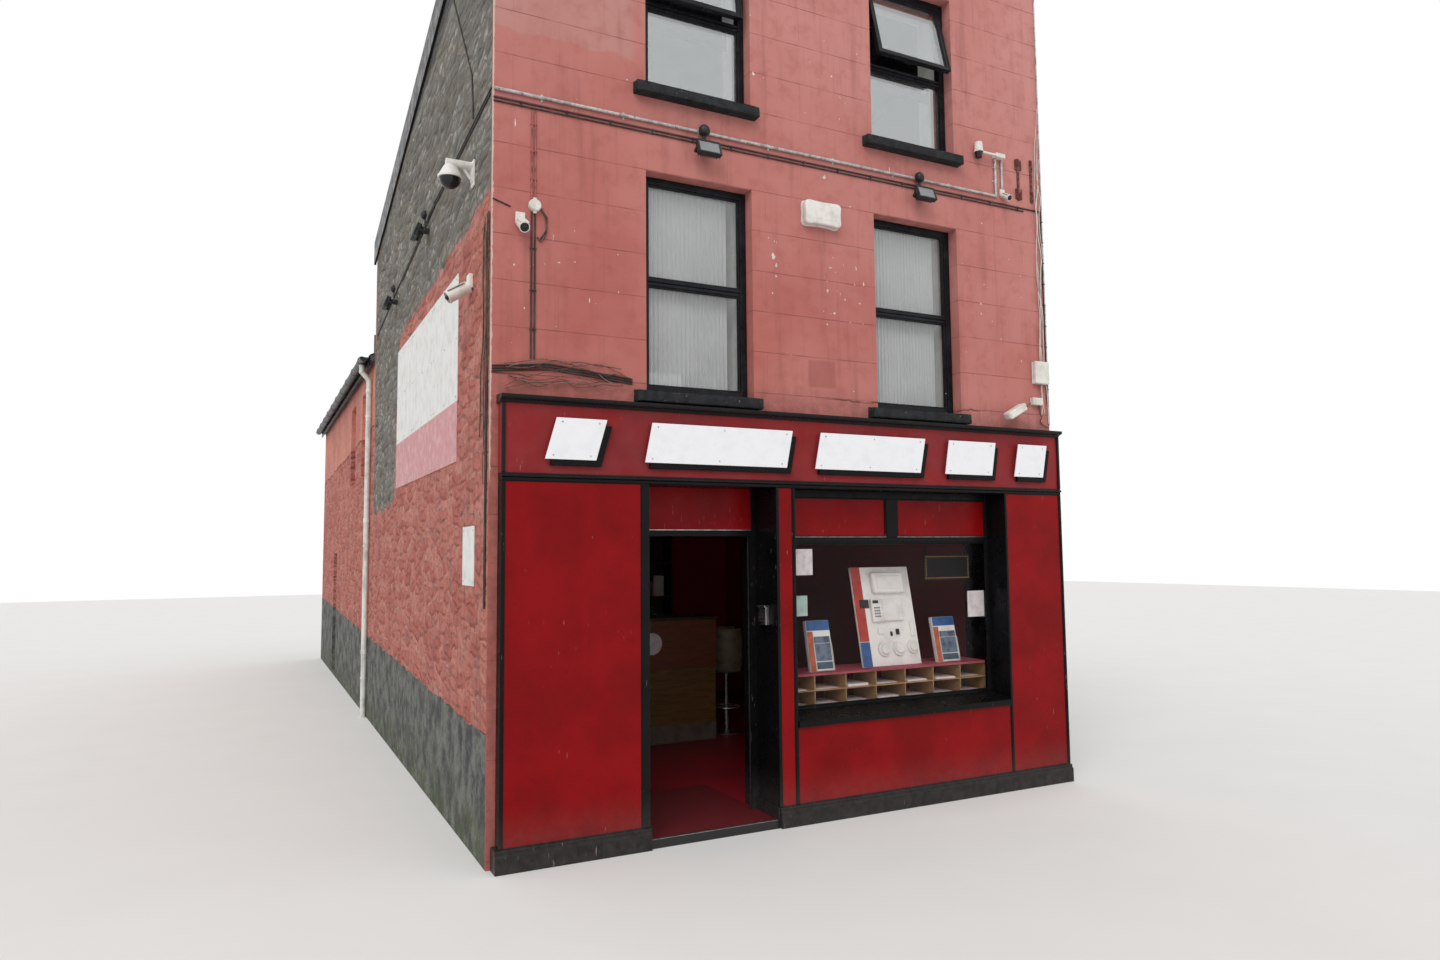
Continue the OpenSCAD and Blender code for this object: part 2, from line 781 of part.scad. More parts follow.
// Moving hinge halves and lever handles of a leaf in an opening w wide
module furniture(w, head_z) {
    lock_x = leaf_out + leaf_w(w) - leaf_stile / 2;
    lock_z = leaf_z0 + 960;
    lever_w = 16;
    rose_t = 8;
    stem_l = 34;
    for (z = hinge_levels(head_z)) leaf_hinge(z);
    for (out = [-1, 1]) {
        face_y = out < 0 ? leaf_y0 : leaf_y1;
        translate([lock_x, face_y, lock_z]) rotate([-90 * out, 0, 0]) {
            cylinder(h = rose_t, r = 24);
            cylinder(h = rose_t + stem_l, r = 9);
        }
        y = face_y + out * (stem_l + lever_w / 2);
        block([lock_x - 110, y - lever_w / 2, lock_z - 9], [lock_x + 9, y + lever_w / 2, lock_z + 9]);
    }
}

// Sides, bottom and top of the leaf's glazed light, as [x0, x1, z0, z1]
function leaf_light(w, head_z) = [
    leaf_out + leaf_stile, leaf_out + leaf_w(w) - leaf_stile,
    leaf_z0 + leaf_bottom, leaf_z0 + leaf_h(head_z) - leaf_stile
];

// Half glazed leaf of the shop door, which stands open
module door_leaf() {
    light = leaf_light(porch_w, door_head_z);
    color(black_paint) at_shop_door() at_hinge(90) difference() {
        block([leaf_out, leaf_y0, leaf_z0],
            [leaf_out + leaf_w(porch_w), leaf_y1, leaf_z0 + leaf_h(door_head_z)]);
        block([light[0], leaf_y0 - 1, light[2]], [light[1], leaf_y1 + 1, light[3]]);
    }
}

module door_glass() {
    light = leaf_light(porch_w, door_head_z);
    y0 = leaf_y0 + (leaf_t - glass_t) / 2;
    color("lightblue", 0.4) at_shop_door() at_hinge(90)
        block([light[0], y0, light[2]], [light[1], y0 + glass_t, light[3]]);
}

module door_furniture() {
    color("silver") at_shop_door() at_hinge(90) furniture(porch_w, door_head_z);
}

// Boarded leaf of the side door, with a groove between each pair of boards
module side_door_leaf() {
    w = leaf_w(side_door_w);
    boards = 5;
    groove = 4;
    color(black_paint) at_side_door() at_hinge(0) difference() {
        block([leaf_out, leaf_y0, leaf_z0], [leaf_out + w, leaf_y1, leaf_z0 + leaf_h(side_head_z)]);
        for (i = [1 : boards - 1]) {
            x = leaf_out + i * w / boards - groove / 2;
            block([x, leaf_y0 - 1, leaf_z0 - 1], [x + groove, leaf_y0 + groove, side_head_z]);
        }
    }
}

module side_door_furniture() {
    color("silver") at_side_door() at_hinge(0) furniture(side_door_w, side_head_z);
}

module shop_window_frame() {
    x0 = shop_win_x0;
    x1 = shop_win_x1;
    y0 = shop_win_d;
    y1 = shop_win_d + shop_frame_d;
    z0 = ledge_z + ledge_rise;
    z1 = shop_head_z - lining_t;
    color(black_paint) difference() {
        block([x0, y0, z0], [x1, y1, z1]);
        block([x0 + shop_frame_w, y0 - 1, z0 + 20],
            [x1 - shop_frame_w, y1 + 1, top_panel_z0 - shop_frame_w]);
        for (i = [0, 1]) {
            x = x0 + shop_frame_w + i * (top_panel_w + top_post_w);
            block([x, y0 - 1, top_panel_z0], [x + top_panel_w, y1 + 1, top_panel_z1]);
        }
    }
}

module shop_glass() {
    y0 = shop_win_d + (shop_frame_d - glass_t) / 2;
    color("lightblue", 0.4)
        block([shop_win_x0 + shop_frame_w, y0, ledge_z + ledge_rise + 20],
            [shop_win_x1 - shop_frame_w, y0 + glass_t, top_panel_z0 - shop_frame_w]);
}

// Sloping ledge in front of the shop glass, with the flat bed behind it
module window_ledge() {
    z0 = ledge_z - ledge_t;
    z1 = ledge_z + ledge_rise;
    color("#3a3a3e") along_x(shop_win_x0, shop_win_x1, [
        [-shop_out - 15, z0], [front_wall_t, z0], [front_wall_t, z1], [shop_win_d, z1],
        [-shop_out - 15, ledge_z]
    ]);
}

recess_d = 120;
recess_w = 640;
recess_z0 = 3150;
recess_z1 = 4340;
recess_y = [main_d + 750, main_d + 2240];
side_door_y = main_d + side_door_off;

// Side wall of the return, with two blocked windows and the dark side door
module return_side_wall() {
    color(render_red) difference() {
        block([0, main_d, 0], [return_wall_t, return_y1, return_eaves_z]);
        for (y = recess_y)
            block([-1, y, recess_z0], [recess_d, y + recess_w, recess_z1]);
        block([-1, side_door_y, floor_z], [return_wall_t + 1, side_door_y + side_door_w, side_door_z1]);
    }
}

// Yard wall and end wall of the return, one mass of masonry round the corner
module return_yard_walls() {
    y0 = return_y1 - return_wall_t;
    rise = (return_w / 2 - return_wall_t) * tan(return_pitch);
    color(render_red) difference() {
        union() {
            block([return_w - return_wall_t, main_d, 0], [return_w, return_y1, return_eaves_z]);
            along_y(y0, return_y1, [
                [return_wall_t, 0], [return_w - return_wall_t, 0],
                [return_w - return_wall_t, return_eaves_z], [return_w / 2, return_eaves_z + rise - seat_gap],
                [return_wall_t, return_eaves_z]
            ]);
        }
        for (i = [0 : 3])
            at_yard_window(i) block([0, -1, 0], [rear_win_w, return_wall_t + 1, yard_h(i)]);
    }
}

// Two slated slopes of the return
module return_roof() {
    out = return_eaves_out;
    z0 = return_eaves_z;
    z1 = z0 + return_edge_t;
    color("#4a4b4f") along_y(main_d, return_y1 + out, [
        [-out, z0], [return_wall_t, z0],
        [return_w / 2, z0 + (return_w / 2 - return_wall_t) * tan(return_pitch)],
        [return_w - return_wall_t, z0], [return_w + out, z0],
        [return_w + out, z1], [return_w / 2, z1 + (return_w / 2 + out) * tan(return_pitch)],
        [-out, z1]
    ]);
}

gutter_r = 55;
gutter_skin = 4;
pipe_r = 34;
pipe_off = 8;
eaves_board_t = 20;

// Half round gutter with closed ends, run along Y from the origin
module gutter(length) {
    translate([0, length, 0]) rotate([90, 0, 0]) difference() {
        cylinder(h = length, r = gutter_r);
        translate([0, 0, gutter_skin]) cylinder(h = length - 2 * gutter_skin, r = gutter_r - gutter_skin);
        translate([-gutter_r - 1, 0, -1]) cube([2 * gutter_r + 2, gutter_r + 1, length + 2]);
    }
}

// Downpipe from a gutter's centre line at a to the foot of a wall at b
module downpipe(a, b) {
    strand([[a.x, a.y, a.z - gutter_r + 6], [a.x, a.y, a.z - 150], [b.x, b.y, a.z - 260], b], pipe_r);
}

// Gutters of the three eaves and the downpipes below them
module rainwater_pipes() {
    out = return_eaves_out + eaves_board_t + seat_gap + gutter_r;
    gutter_z = return_eaves_z + return_edge_t - 20;
    gutter_y = main_d + 20;
    rear_y1 = main_d + roof_eaves_out;
    rear_gutter_y = rear_y1 + seat_gap + gutter_r;
    rear_gutter_z = roof_top(rear_y1) - 60;
    wall_off = pipe_r + pipe_off;
    side_pipe_y = main_d + 260;
    yard_pipe_y = return_y1 - 300;
    rear_pipe_x = main_x1;
    color("#c9cbc8") {
        translate([-out, gutter_y, gutter_z]) gutter(return_len - 20);
        downpipe([-out, side_pipe_y, gutter_z], [-wall_off, side_pipe_y, 0]);
        translate([return_w + out, gutter_y, gutter_z]) gutter(return_len - 20);
        downpipe([return_w + out, yard_pipe_y, gutter_z], [return_w + wall_off, yard_pipe_y, 0]);
        translate([0, rear_gutter_y, rear_gutter_z]) rotate([0, 0, -90]) gutter(front_w);
        downpipe([rear_pipe_x, rear_gutter_y, rear_gutter_z], [rear_pipe_x, main_d + wall_off, 0]);
    }
}

// Plain plates fixed to the gable: the large one, and a small notice near the corner
module gable_plates() {
    color("white") {
        block([-plate_t, side_sign_y, side_sign_z],
            [0, side_sign_y + side_sign_w, side_sign_z + side_sign_h]);
        block([-plate_t, 420, 1840], [0, 800, 2270]);
    }
}

plate_z0 = conduit_z + 10;
plate_h = 400;

// Two upright steel plates, left on the wall near the right hand corner
module front_plates() {
    color("#3a2020") {
        block([front_w - 328, -14, plate_z0], [front_w - 250, 0, plate_z0 + plate_h]);
        block([front_w - 145, -14, plate_z0], [front_w - 110, 0, plate_z0 + plate_h + 15]);
    }
}

// Camera in a round housing under a hood, on a box out of the wall
module bullet_camera(p, dir, r) {
    translate(p) rotate([0, 0, dir]) {
        block([-r, -r, -r], [r, 0, 1.4 * r]);
        bar([0, -0.6 * r, -0.8 * r], [0, -3.2 * r, -2.4 * r], r);
        bar([0, -3 * r, -2.28 * r], [0, -3.9 * r, -2.83 * r], 1.2 * r);
    }
}

// Ball camera hung under a cap from a round arm
module dome_camera(p, dir, reach, r) {
    arm_r = 0.42 * r;
    cap_h = 1.1 * r;
    cap_z = -0.8 * arm_r - cap_h;
    translate(p) rotate([0, 0, dir]) {
        block([-0.5 * r, -0.3 * r, -1.9 * r], [0.5 * r, 0, 0.6 * r]);
        bar([0, -0.2 * r, 0], [0, -reach - 0.4 * r, 0], arm_r);
        translate([0, -reach, cap_z]) cylinder(h = cap_h, r1 = 1.15 * r, r2 = 0.6 * r);
        translate([0, -reach, cap_z]) sphere(r = r);
    }
}

corner_cam_z = second_floor_z + 500;

module cameras() {
    color("white") {
        dome_camera([0, 575, 4960], -90, ball_reach, ball_r);
        bullet_camera([0, 600, 4080], -90, 45);
        // Small cameras of the street wall: two at the right and one at the left
        block([front_w - 600, -60, corner_cam_z - 35], [front_w - 490, 0, corner_cam_z + 5]);
        block([front_w - 800, -60, corner_cam_z - 30], [front_w - 600, -40, corner_cam_z - 10]);
        translate([front_w - 805, -50, corner_cam_z - 80]) cylinder(h = 140, r = 40);
        bullet_camera([front_w - 500, 0, conduit_z + 40], 0, 26);
        bullet_camera([196, 0, 4400], 0, 34);
    }
}

lamp_drop = 170;

// Lamp under a round sensor, on a stem that stands in front of the conduit; p lies on the conduit's line
module floodlight(p, dir) {
    translate(p) rotate([0, 0, dir]) {
        block([-30, -45, -lamp_drop], [30, 0, 45 - lamp_drop]);
        block([-12, -45, -lamp_drop], [12, -33, 40]);
        translate([0, -33, 5]) rotate([90, 0, 0]) cylinder(h = 48, r = 46);
        block([-12, -90, 5 - lamp_drop], [12, -40, 20 - lamp_drop]);
        translate([0, -110, -lamp_drop]) rotate([-20, 0, 0])
            block([-lamp_w / 2, -45, -62], [lamp_w / 2, 45, 62]);
    }
}

module floodlights() {
    color(black_paint) {
        for (x = [win_left_x, win_right_x]) floodlight([x + win_w / 2 + 20, 0, conduit_z], 0);
        floodlight([0, 2500, 5225], -90);
        floodlight([0, 4500, 5045], -90);
    }
}

sounder_x = (win_left_x + win_w + win_right_x - sounder_w) / 2 + 40;
sounder_z = win1_z + win1_h - sounder_h - 6;
bundle_z = win1_z + 90;

// Alarm sounder with a bulging face, and the small boxes on the street wall and in the porch
module wall_boxes() {
    color("white") {
        along_x(sounder_x, sounder_x + sounder_w, [
            [0, sounder_z], [0, sounder_z + sounder_h], [-55, sounder_z + sounder_h],
            [-75, sounder_z + 0.85 * sounder_h], [-75, sounder_z + 0.2 * sounder_h], [-60, sounder_z]
        ]);
        block([front_w - 205, -60, 3590], [front_w - 35, 0, 3800]);
        block([front_w - 235, -45, 3390], [front_w - 110, 0, 3460]);
        // Tilted sensor box over the cornice, on its foot
        block([front_w - 470, -75, 3290], [front_w - 430, 0, 3330]);
        translate([front_w - 520, -105, 3300]) rotate([0, -28, 0]) block([-110, -45, -35], [110, 45, 35]);
        translate([300, 0, 4512]) rotate([90, 0, 0]) cylinder(h = 40, r = 45);
        block([porch_x1 - 45, 20, 1500], [porch_x1, 140, 1650]);
    }
}

// Conduit or cable on the street wall along a list of X and Z positions
module front_run(points, r) {
    strand([for (p = points) [p.x, -lay(points, r), p.y]], r);
}

// Cable on the gable along a list of Y and Z positions
module gable_run(points, r) {
    strand([for (p = points) [-lay(points, r), p.x, p.y]], r);
}

// Pale conduit along the front with its branches to the right hand cameras, and the pale corner cable
module conduits() {
    cam_x = front_w - 580;
    color("#d8d2c8") {
        front_run([[5, conduit_z], [cam_x, conduit_z], [cam_x, corner_cam_z - 38]], conduit_r);
        front_run([[cam_x + 80, conduit_z + 80], [cam_x + 80, corner_cam_z - 38]], conduit_r);
        front_run([[front_w - 7, parapet_z - 300], [front_w - 8, 3215]], cable_r);
    }
}

// Dark cables clipped along both walls
module wall_cables() {
    z1 = conduit_z - 62;
    z2 = conduit_z - 88;
    color("#2b2a2c") {
        front_run([[5, z1], [front_w - 22, z1], [front_w - 22, 3400]], cable_r);
        front_run([[5, z2], [front_w - 240, z2]], cable_r);
        for (x = [280, 305]) {
            front_run([[x, z2 - 14], [x, 4560]], cable_r);
            front_run([[x, 4464], [x, bundle_z + 70]], cable_r);
        }
        front_run([[348, 4500], [390, 4440], [388, 4350], [340, 4270]], cable_r - 1);
        front_run([[8, 4520], [130, 4482]], cable_r - 1);
        for (i = [0 : 2])
            front_run([
                [12, bundle_z - 18 * i], [420, bundle_z + 40 - 18 * i],
                [win_left_x - sill_left - 15, bundle_z - 20 - 16 * i]
            ], cable_r);
        // The gable's pair of cables turns down a little inside a clip box
        block([-16, 2188, 5196], [0, 2212, 5262]);
        gable_run([[20, 5322], [2195, 5245]], cable_r);
        gable_run([[2205, 5244], [6194, 4880]], cable_r);
        gable_run([[40, 5290], [2195, 5213]], cable_r);
        gable_run([[2205, 5212], [4120, 5038]], cable_r);
        gable_run([[1600, roof_top(1600) - verge_board_h - 8], [652, 5706], [600, 5345]], cable_r);
        for (y = [50, 85]) gable_run([[y, 4440], [0.6 * y + 40, 1700]], cable_r);
    }
}

counter_x = 1450;

// Counter with a proud upper panel, a recessed lower cabinet and a top
module counter() {
    x1 = counter_x + counter_w;
    y1 = counter_y + counter_d;
    z1 = floor_z + counter_h;
    panel_z = 840;
    top_t = 30;
    color("#a5652f") {
        block([counter_x, counter_y + 25, floor_z], [x1, y1, panel_z]);
        block([counter_x, counter_y, panel_z], [x1, y1, z1 - top_t]);
        block([counter_x - 20, counter_y - 20, z1 - top_t], [x1 + 20, y1, z1]);
    }
}

// Stool with a tub seat on a round foot, beside the counter
module bar_stool() {
    tub_r = 200;
    seat_z = 760;
    back_z = 1220;
    wall = 28;
    color("#d9c9a4") translate([counter_x + counter_w + 20 + tub_r + 60, counter_y + 330, 0]) {
        translate([0, 0, floor_z]) cylinder(h = 25, r = tub_r);
        translate([0, 0, floor_z]) cylinder(h = seat_z - floor_z, r = 28);
        difference() {
            translate([0, 0, seat_z - 40]) cylinder(h = back_z - seat_z + 40, r = tub_r);
            translate([0, 0, seat_z + 60]) cylinder(h = back_z, r = tub_r - wall);
            translate([-tub_r, -tub_r - 1, seat_z + 60]) cube([2 * tub_r, 0.8 * tub_r, back_z]);
        }
    }
}

// Tall shelf unit against the rear wall of the shop
module wall_shelves() {
    x0 = counter_x + 750;
    x1 = x0 + 1700;
    y0 = rear_y - 300;
    z1 = 2400;
    shelves = 5;
    t = 22;
    pitch = (z1 - floor_z - t) / shelves;
    color("#2a2422") difference() {
        block([x0, y0, floor_z], [x1, rear_y, z1]);
        for (i = [0 : shelves - 1]) {
            z = floor_z + t + i * pitch;
            block([x0 + t, y0 - 1, z], [x1 - t, rear_y - t, z + pitch - t]);
        }
    }
}

shelf_t = 18;

// Shelves of the pigeonhole unit, the top one wider as the display shelf
module pigeonhole_shelves() {
    y1 = unit_y + unit_d;
    color("#9a7748") {
        for (i = [0, 1]) {
            z = unit_z + i * unit_row_h;
            block([unit_x0, unit_y, z], [unit_x1, y1, z + unit_t]);
        }
        block([unit_x0 - 8, unit_y - 6, unit_top_z], [unit_x1 + 8, y1 + 60, unit_top_z + shelf_t]);
    }
}

// Upright boards between the shelves
module pigeonhole_dividers() {
    color("#9a7748")
        for (row = [0, 1], col = [0 : unit_cols]) {
            x = unit_x0 + col * unit_pitch - (col == unit_cols ? unit_t : 0);
            z0 = unit_z + row * unit_row_h + unit_t;
            z1 = unit_z + (row + 1) * unit_row_h;
            block([x, unit_y, z0], [x + unit_t, unit_y + unit_d, z1]);
        }
}

panel_y = unit_y + 110;

// Leaning display board, two leaflet holders and a small panel hung on two rods
module window_display() {
    hung_x = shop_win_x1 - 600;
    hung_z = 1800;
    hung_w = 520;
    hung_h = 230;
    color("white") {
        leaning_board(unit_x0 + 866, panel_y, 620, 30, 860);
        leaning_board(unit_x0 + 326, panel_y - 30, 230, 45, 420);
        leaning_board(unit_x0 + 1646, panel_y - 30, 250, 45, 400);
        block([hung_x, panel_y, hung_z], [hung_x + hung_w, panel_y + 20, hung_z + hung_h]);
        for (x = [hung_x + 30, hung_x + hung_w - 30])
            translate([x, panel_y + 10, hung_z + hung_h])
                cylinder(h = shop_head_z - lining_t - seat_gap - hung_z - hung_h, r = 3);
    }
}

// Board that leans back on a strut, on the display shelf
module leaning_board(x, y, w, t, h) {
    z0 = unit_top_z + shelf_t;
    lean = h * tan(12);
    along_x(x, x + w, [[y, z0], [y + t, z0], [y + t + lean, z0 + h], [y + lean, z0 + h]]);
    along_x(x + w / 2 - 10, x + w / 2 + 10, [
        [y + t + lean - 10, z0], [y + t + lean, z0], [y + t + lean, z0 + h], [y + t + lean - 10, z0 + h - 10]
    ]);
}

ground_slab();
shop_piers();
shop_beam();
front_wall_first();
front_wall_second();
parapet_coping();
gable_wall();
party_wall();
rear_wall();
upper_floors();
main_roof();
roof_edge_boards();
window_sills();
window_frames();
opener_sashes();
window_rails();
inner_linings();
upper_glass();
net_curtains();
shop_panels();
shop_trim();
shop_plinth();
fascia_board();
fascia_cornice();
sign_boards();
recess_linings();
door_frames();
threshold();
shop_window_frame();
shop_glass();
window_ledge();
door_leaf();
door_glass();
door_furniture();
side_door_leaf();
side_door_furniture();
return_side_wall();
return_yard_walls();
return_roof();
rainwater_pipes();
gable_plates();
front_plates();
cameras();
floodlights();
wall_boxes();
conduits();
wall_cables();
counter();
bar_stool();
wall_shelves();
pigeonhole_shelves();
pigeonhole_dividers();
window_display();
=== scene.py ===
"""Corner shop with rooms over it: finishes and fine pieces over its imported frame.

Lengths are in metres and angles in degrees; the sizes of a finish's patterns are in millimetres.
"""

from __future__ import annotations

import logging
import math
import random
from collections.abc import Callable, Sequence
from dataclasses import dataclass
from enum import Enum
from itertools import product
from typing import Any

import bpy
from mathutils import Matrix, Vector


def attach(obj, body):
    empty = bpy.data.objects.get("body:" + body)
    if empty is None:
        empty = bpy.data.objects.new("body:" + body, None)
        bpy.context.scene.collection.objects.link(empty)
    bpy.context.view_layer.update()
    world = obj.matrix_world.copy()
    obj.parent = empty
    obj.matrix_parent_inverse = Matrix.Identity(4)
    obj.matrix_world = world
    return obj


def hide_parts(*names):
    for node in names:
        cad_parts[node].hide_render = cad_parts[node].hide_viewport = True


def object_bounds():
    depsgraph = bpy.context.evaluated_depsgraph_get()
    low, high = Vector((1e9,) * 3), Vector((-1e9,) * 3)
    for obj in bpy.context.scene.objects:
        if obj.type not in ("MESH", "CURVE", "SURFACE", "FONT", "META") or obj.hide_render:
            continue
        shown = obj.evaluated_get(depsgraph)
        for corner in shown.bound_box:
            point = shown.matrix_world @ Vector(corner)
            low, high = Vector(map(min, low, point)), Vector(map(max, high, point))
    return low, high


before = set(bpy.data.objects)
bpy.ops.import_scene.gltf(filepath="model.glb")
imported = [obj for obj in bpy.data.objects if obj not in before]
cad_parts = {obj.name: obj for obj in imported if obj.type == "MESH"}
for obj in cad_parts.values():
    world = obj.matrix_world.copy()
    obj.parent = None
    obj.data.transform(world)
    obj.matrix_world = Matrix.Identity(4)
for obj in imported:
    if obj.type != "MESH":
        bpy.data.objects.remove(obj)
cad_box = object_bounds()

logging.basicConfig(level=logging.INFO, format="%(message)s")
log = logging.getLogger("shop")

Point = tuple[float, float, float]
Pair = tuple[float, float]
Rows = tuple[tuple[float, ...], ...]
# Start, step and count of things in a row
Run = tuple[float, float, int]
Piece = bpy.types.Object
Material = bpy.types.Material
Tree = bpy.types.NodeTree
BODY = "building"
SHOP_DOOR = "shop_door"
SIDE_DOOR = "side_door"
MM = 0.001
PLASTIC_IOR = 1.46
SHARP_EDGE = 30
SEED = 7
# Rise of the main roof and of the return's, per metre
MAIN_RISE = 0.218
BACK_RISE = 0.577
# Insides of the main block and of the return: limits along X and Y, and top of the sloping ceiling
ROOMS = (((0.28, 5.02), (0.28, 6.22), 7.55), ((0.2, 2.8), (6.3, 14.42), 5.51))


class Axis(Enum):
    """Axis that a profile runs along, with the order of its two outline directions."""

    X = (1, 2, 0)
    Y = (0, 2, 1)


def linear(colour: str) -> tuple[float, ...]:
    """Turn an sRGB hex colour, such as "b5625a", to linear red, green, blue and an alpha of 1."""
    parts = [int(colour[i : i + 2], 16) / 255 for i in (0, 2, 4)]
    return *(c / 12.92 if c <= 0.04045 else ((c + 0.055) / 1.055) ** 2.4 for c in parts), 1.0


def add_node(
    tree: Tree, kind: str, links: dict[int | str, Any] | None = None, **settings: Any
) -> bpy.types.Node:
    """Add a node with its settings and its inputs.

    Args:
        tree: Node tree that takes the node.
        kind: Type of the node, without its ShaderNode prefix.
        links: Input name or index to a level, a number, a vector or a hex colour.
        settings: Properties of the node.

    Returns:
        The new node.
    """
    node = tree.nodes.new("ShaderNode" + kind)
    for name, value in settings.items():
        setattr(node, name, value)
    for name, value in (links or {}).items():
        if isinstance(value, Level):
            tree.links.new(value.socket, node.inputs[name])
        else:
            node.inputs[name].default_value = linear(value) if isinstance(value, str) else value
    return node


class Level:
    """Value or colour that varies over a surface, with plain arithmetic; | is the higher of two."""

    def __init__(self, tree: Tree, socket: bpy.types.NodeSocket) -> None:
        """Keep the output that gives the level."""
        self.tree, self.socket = tree, socket

    def add(
        self, kind: str, links: dict[int | str, Any] | None = None, out: int | str = 0, **settings: Any
    ) -> Level:
        """Add a node to the same tree and take one of its outputs; see add_node."""
        return Level(self.tree, add_node(self.tree, kind, links, **settings).outputs[out])

    def math(self, operation: str, *others: Level | float) -> Level:
        """Do one Math operation on this level and others."""
        return self.add("Math", dict(enumerate((self, *others))), operation=operation)

    def __add__(self, other: Level | float) -> Level:
        """Sum."""
        return self.math("ADD", other)

    def __sub__(self, other: Level | float) -> Level:
        """Difference."""
        return self.math("SUBTRACT", other)

    def __mul__(self, other: Level | float) -> Level:
        """Product."""
        return self.math("MULTIPLY", other)

    def __or__(self, other: Level | float) -> Level:
        """Higher of two."""
        return self.math("MAXIMUM", other)

    def __abs__(self) -> Level:
        """Distance from 0."""
        return self.math("ABSOLUTE")

    def rest(self) -> Level:
        """What is left of 1."""
        return self.add("Math", {0: 1.0, 1: self}, operation="SUBTRACT")

    def rise(self, low: float, high: float, a: Level | float = 0.0, b: Level | float = 1.0) -> Level:
        """Go smoothly from a to b as this level goes from low to high, held at both ends."""
        links = {"Value": self, "From Min": low, "From Max": high, "To Min": a, "To Max": b}
        return self.add("MapRange", links, interpolation_type="SMOOTHSTEP")

    def fall(self, low: float, high: float) -> Level:
        """Go smoothly from 1 to 0 as this level goes from low to high."""
        return self.rise(low, high, 1, 0)

    def blend(self, a: Level | str, b: Level | str) -> Level:
        """Colour that goes from a to b as this share goes from 0 to 1."""
        return self.add("Mix", {0: self, 6: a, 7: b}, 2, data_type="RGBA")

    def under(self, *coats: tuple[Level, Level | str]) -> Level:
        """Lay coats over this colour.

        Args:
            coats: Share and colour of each coat.

        Returns:
            The colour with its coats.
        """
        colour = self
        for share, coat in coats:
            colour = share.blend(colour, coat)
        return colour


class Paint(Level):
    """Node tree of one finish; as a level it is the Object coordinates."""

    def __init__(self, name: str) -> None:
        """Start an empty material.

        Args:
            name: Name of the material.
        """
        self.material = bpy.data.materials.new(name)
        self.material.use_nodes = True
        self.tree = self.material.node_tree
        self.tree.nodes.clear()
        self.socket = add_node(self.tree, "TexCoord").outputs["Object"]
        axes = add_node(self.tree, "SeparateXYZ", {0: self}).outputs
        self.x, self.y, self.z = (Level(self.tree, axis) for axis in axes)

    def noise(
        self, size_mm: float, detail: float = 3, rough: float = 0.55, stretch: Point | None = None
    ) -> Level:
        """Noise from 0 to 1 with features about size_mm across, after each axis is scaled by stretch."""
        place = self.add("Mapping", {"Vector": self, "Scale": stretch}) if stretch else self
        return self.add(
            "TexNoise", {"Vector": place, "Scale": 1 / (size_mm * MM), "Detail": detail, "Roughness": rough}
        )

    def patches(
        self, size_mm: float, detail: float, rough: float, low: float, high: float, most: float = 1
    ) -> Level:
        """Soft patches from 0 to most, where noise goes from low to high."""
        return self.noise(size_mm, detail, rough).rise(low, high, 0, most)

    def streaks(
        self, stretch: Point, low: float, high: float, most: float, detail: float = 4, rough: float = 0.6
    ) -> Level:
        """Streaks from 0 to most, with features of 1 m divided by stretch."""
        return self.noise(1000, detail, rough, stretch).rise(low, high, 0, most)

    def sheen(self, level: float, less: float, more: float, size_mm: float, detail: float = 4) -> Level:
        """Roughness that varies in patches round a level."""
        return self.noise(size_mm, detail).rise(0.3, 0.7, level - less, level + more)

    def bump(self, height: Level, depth_mm: float, normal: Level | None = None) -> Level:
        """Bump from a height of 0 to 1 that stands for depth_mm, over another bump."""
        links = {"Height": height, "Distance": depth_mm * MM, "Strength": 1.0}
        return self.add("Bump", links | ({"Normal": normal} if normal else {}))

    def close(
        self, colour: Level, rough: Level | float, normal: Level | None, shine: float = 0.5,
        **more: Level | float
    ) -> Material:
        """Finish with a Principled shader; shine is its specular level, and more are other inputs by name."""
        inputs = {"Base Color": colour, "Roughness": rough, "Specular IOR Level": shine, **more}
        return self.show(self.add("BsdfPrincipled", inputs | ({"Normal": normal} if normal else {})))

    def show(self, shader: Level) -> Material:
        """Give the surface a shader and return the material."""
        add_node(self.tree, "OutputMaterial", {"Surface": shader})
        return self.material


def only(*pieces: Piece) -> None:
    """Select these pieces alone and make the first one active.

    Args:
        pieces: Pieces to select.
    """
    for item in bpy.context.selected_objects:
        item.select_set(False)
    for item in pieces:
        item.select_set(True)
    bpy.context.view_layer.objects.active = pieces[0]


def settle(piece: Piece) -> Piece:
    """Apply a piece's place, turn and size to its mesh.

    Args:
        piece: Piece to settle.

    Returns:
        The same piece.
    """
    only(piece)
    bpy.ops.object.transform_apply(location=True, rotation=True, scale=True)
    return piece


def apply_modifier(piece: Piece, kind: str, **settings: Any) -> Piece:
    """Add a modifier and apply it.

    Args:
        piece: Piece that takes it.
        kind: Type of the modifier.
        settings: Its properties.

    Returns:
        The same piece.
    """
    only(piece)
    modifier = piece.modifiers.new("shape", kind)
    for name, value in settings.items():
        setattr(modifier, name, value)
    bpy.ops.object.modifier_apply(modifier=modifier.name)
    return piece


def bevelled(piece: Piece, width: float, segments: int = 2) -> Piece:
    """Round a piece's edges that turn by more than a sharp edge's angle."""
    settings = {
        "width": width, "segments": segments, "limit_method": "ANGLE", "angle_limit": math.radians(SHARP_EDGE)
    }
    return apply_modifier(piece, "BEVEL", **settings) if width > 0 else piece


def smooth(piece: Piece, degrees: float = 40) -> Piece:
    """Shade a piece smooth where its faces turn by less than an angle.

    Args:
        piece: Piece to shade.
        degrees: The angle.

    Returns:
        The same piece.
    """
    only(piece)
    bpy.ops.object.shade_smooth_by_angle(angle=math.radians(degrees))
    return piece


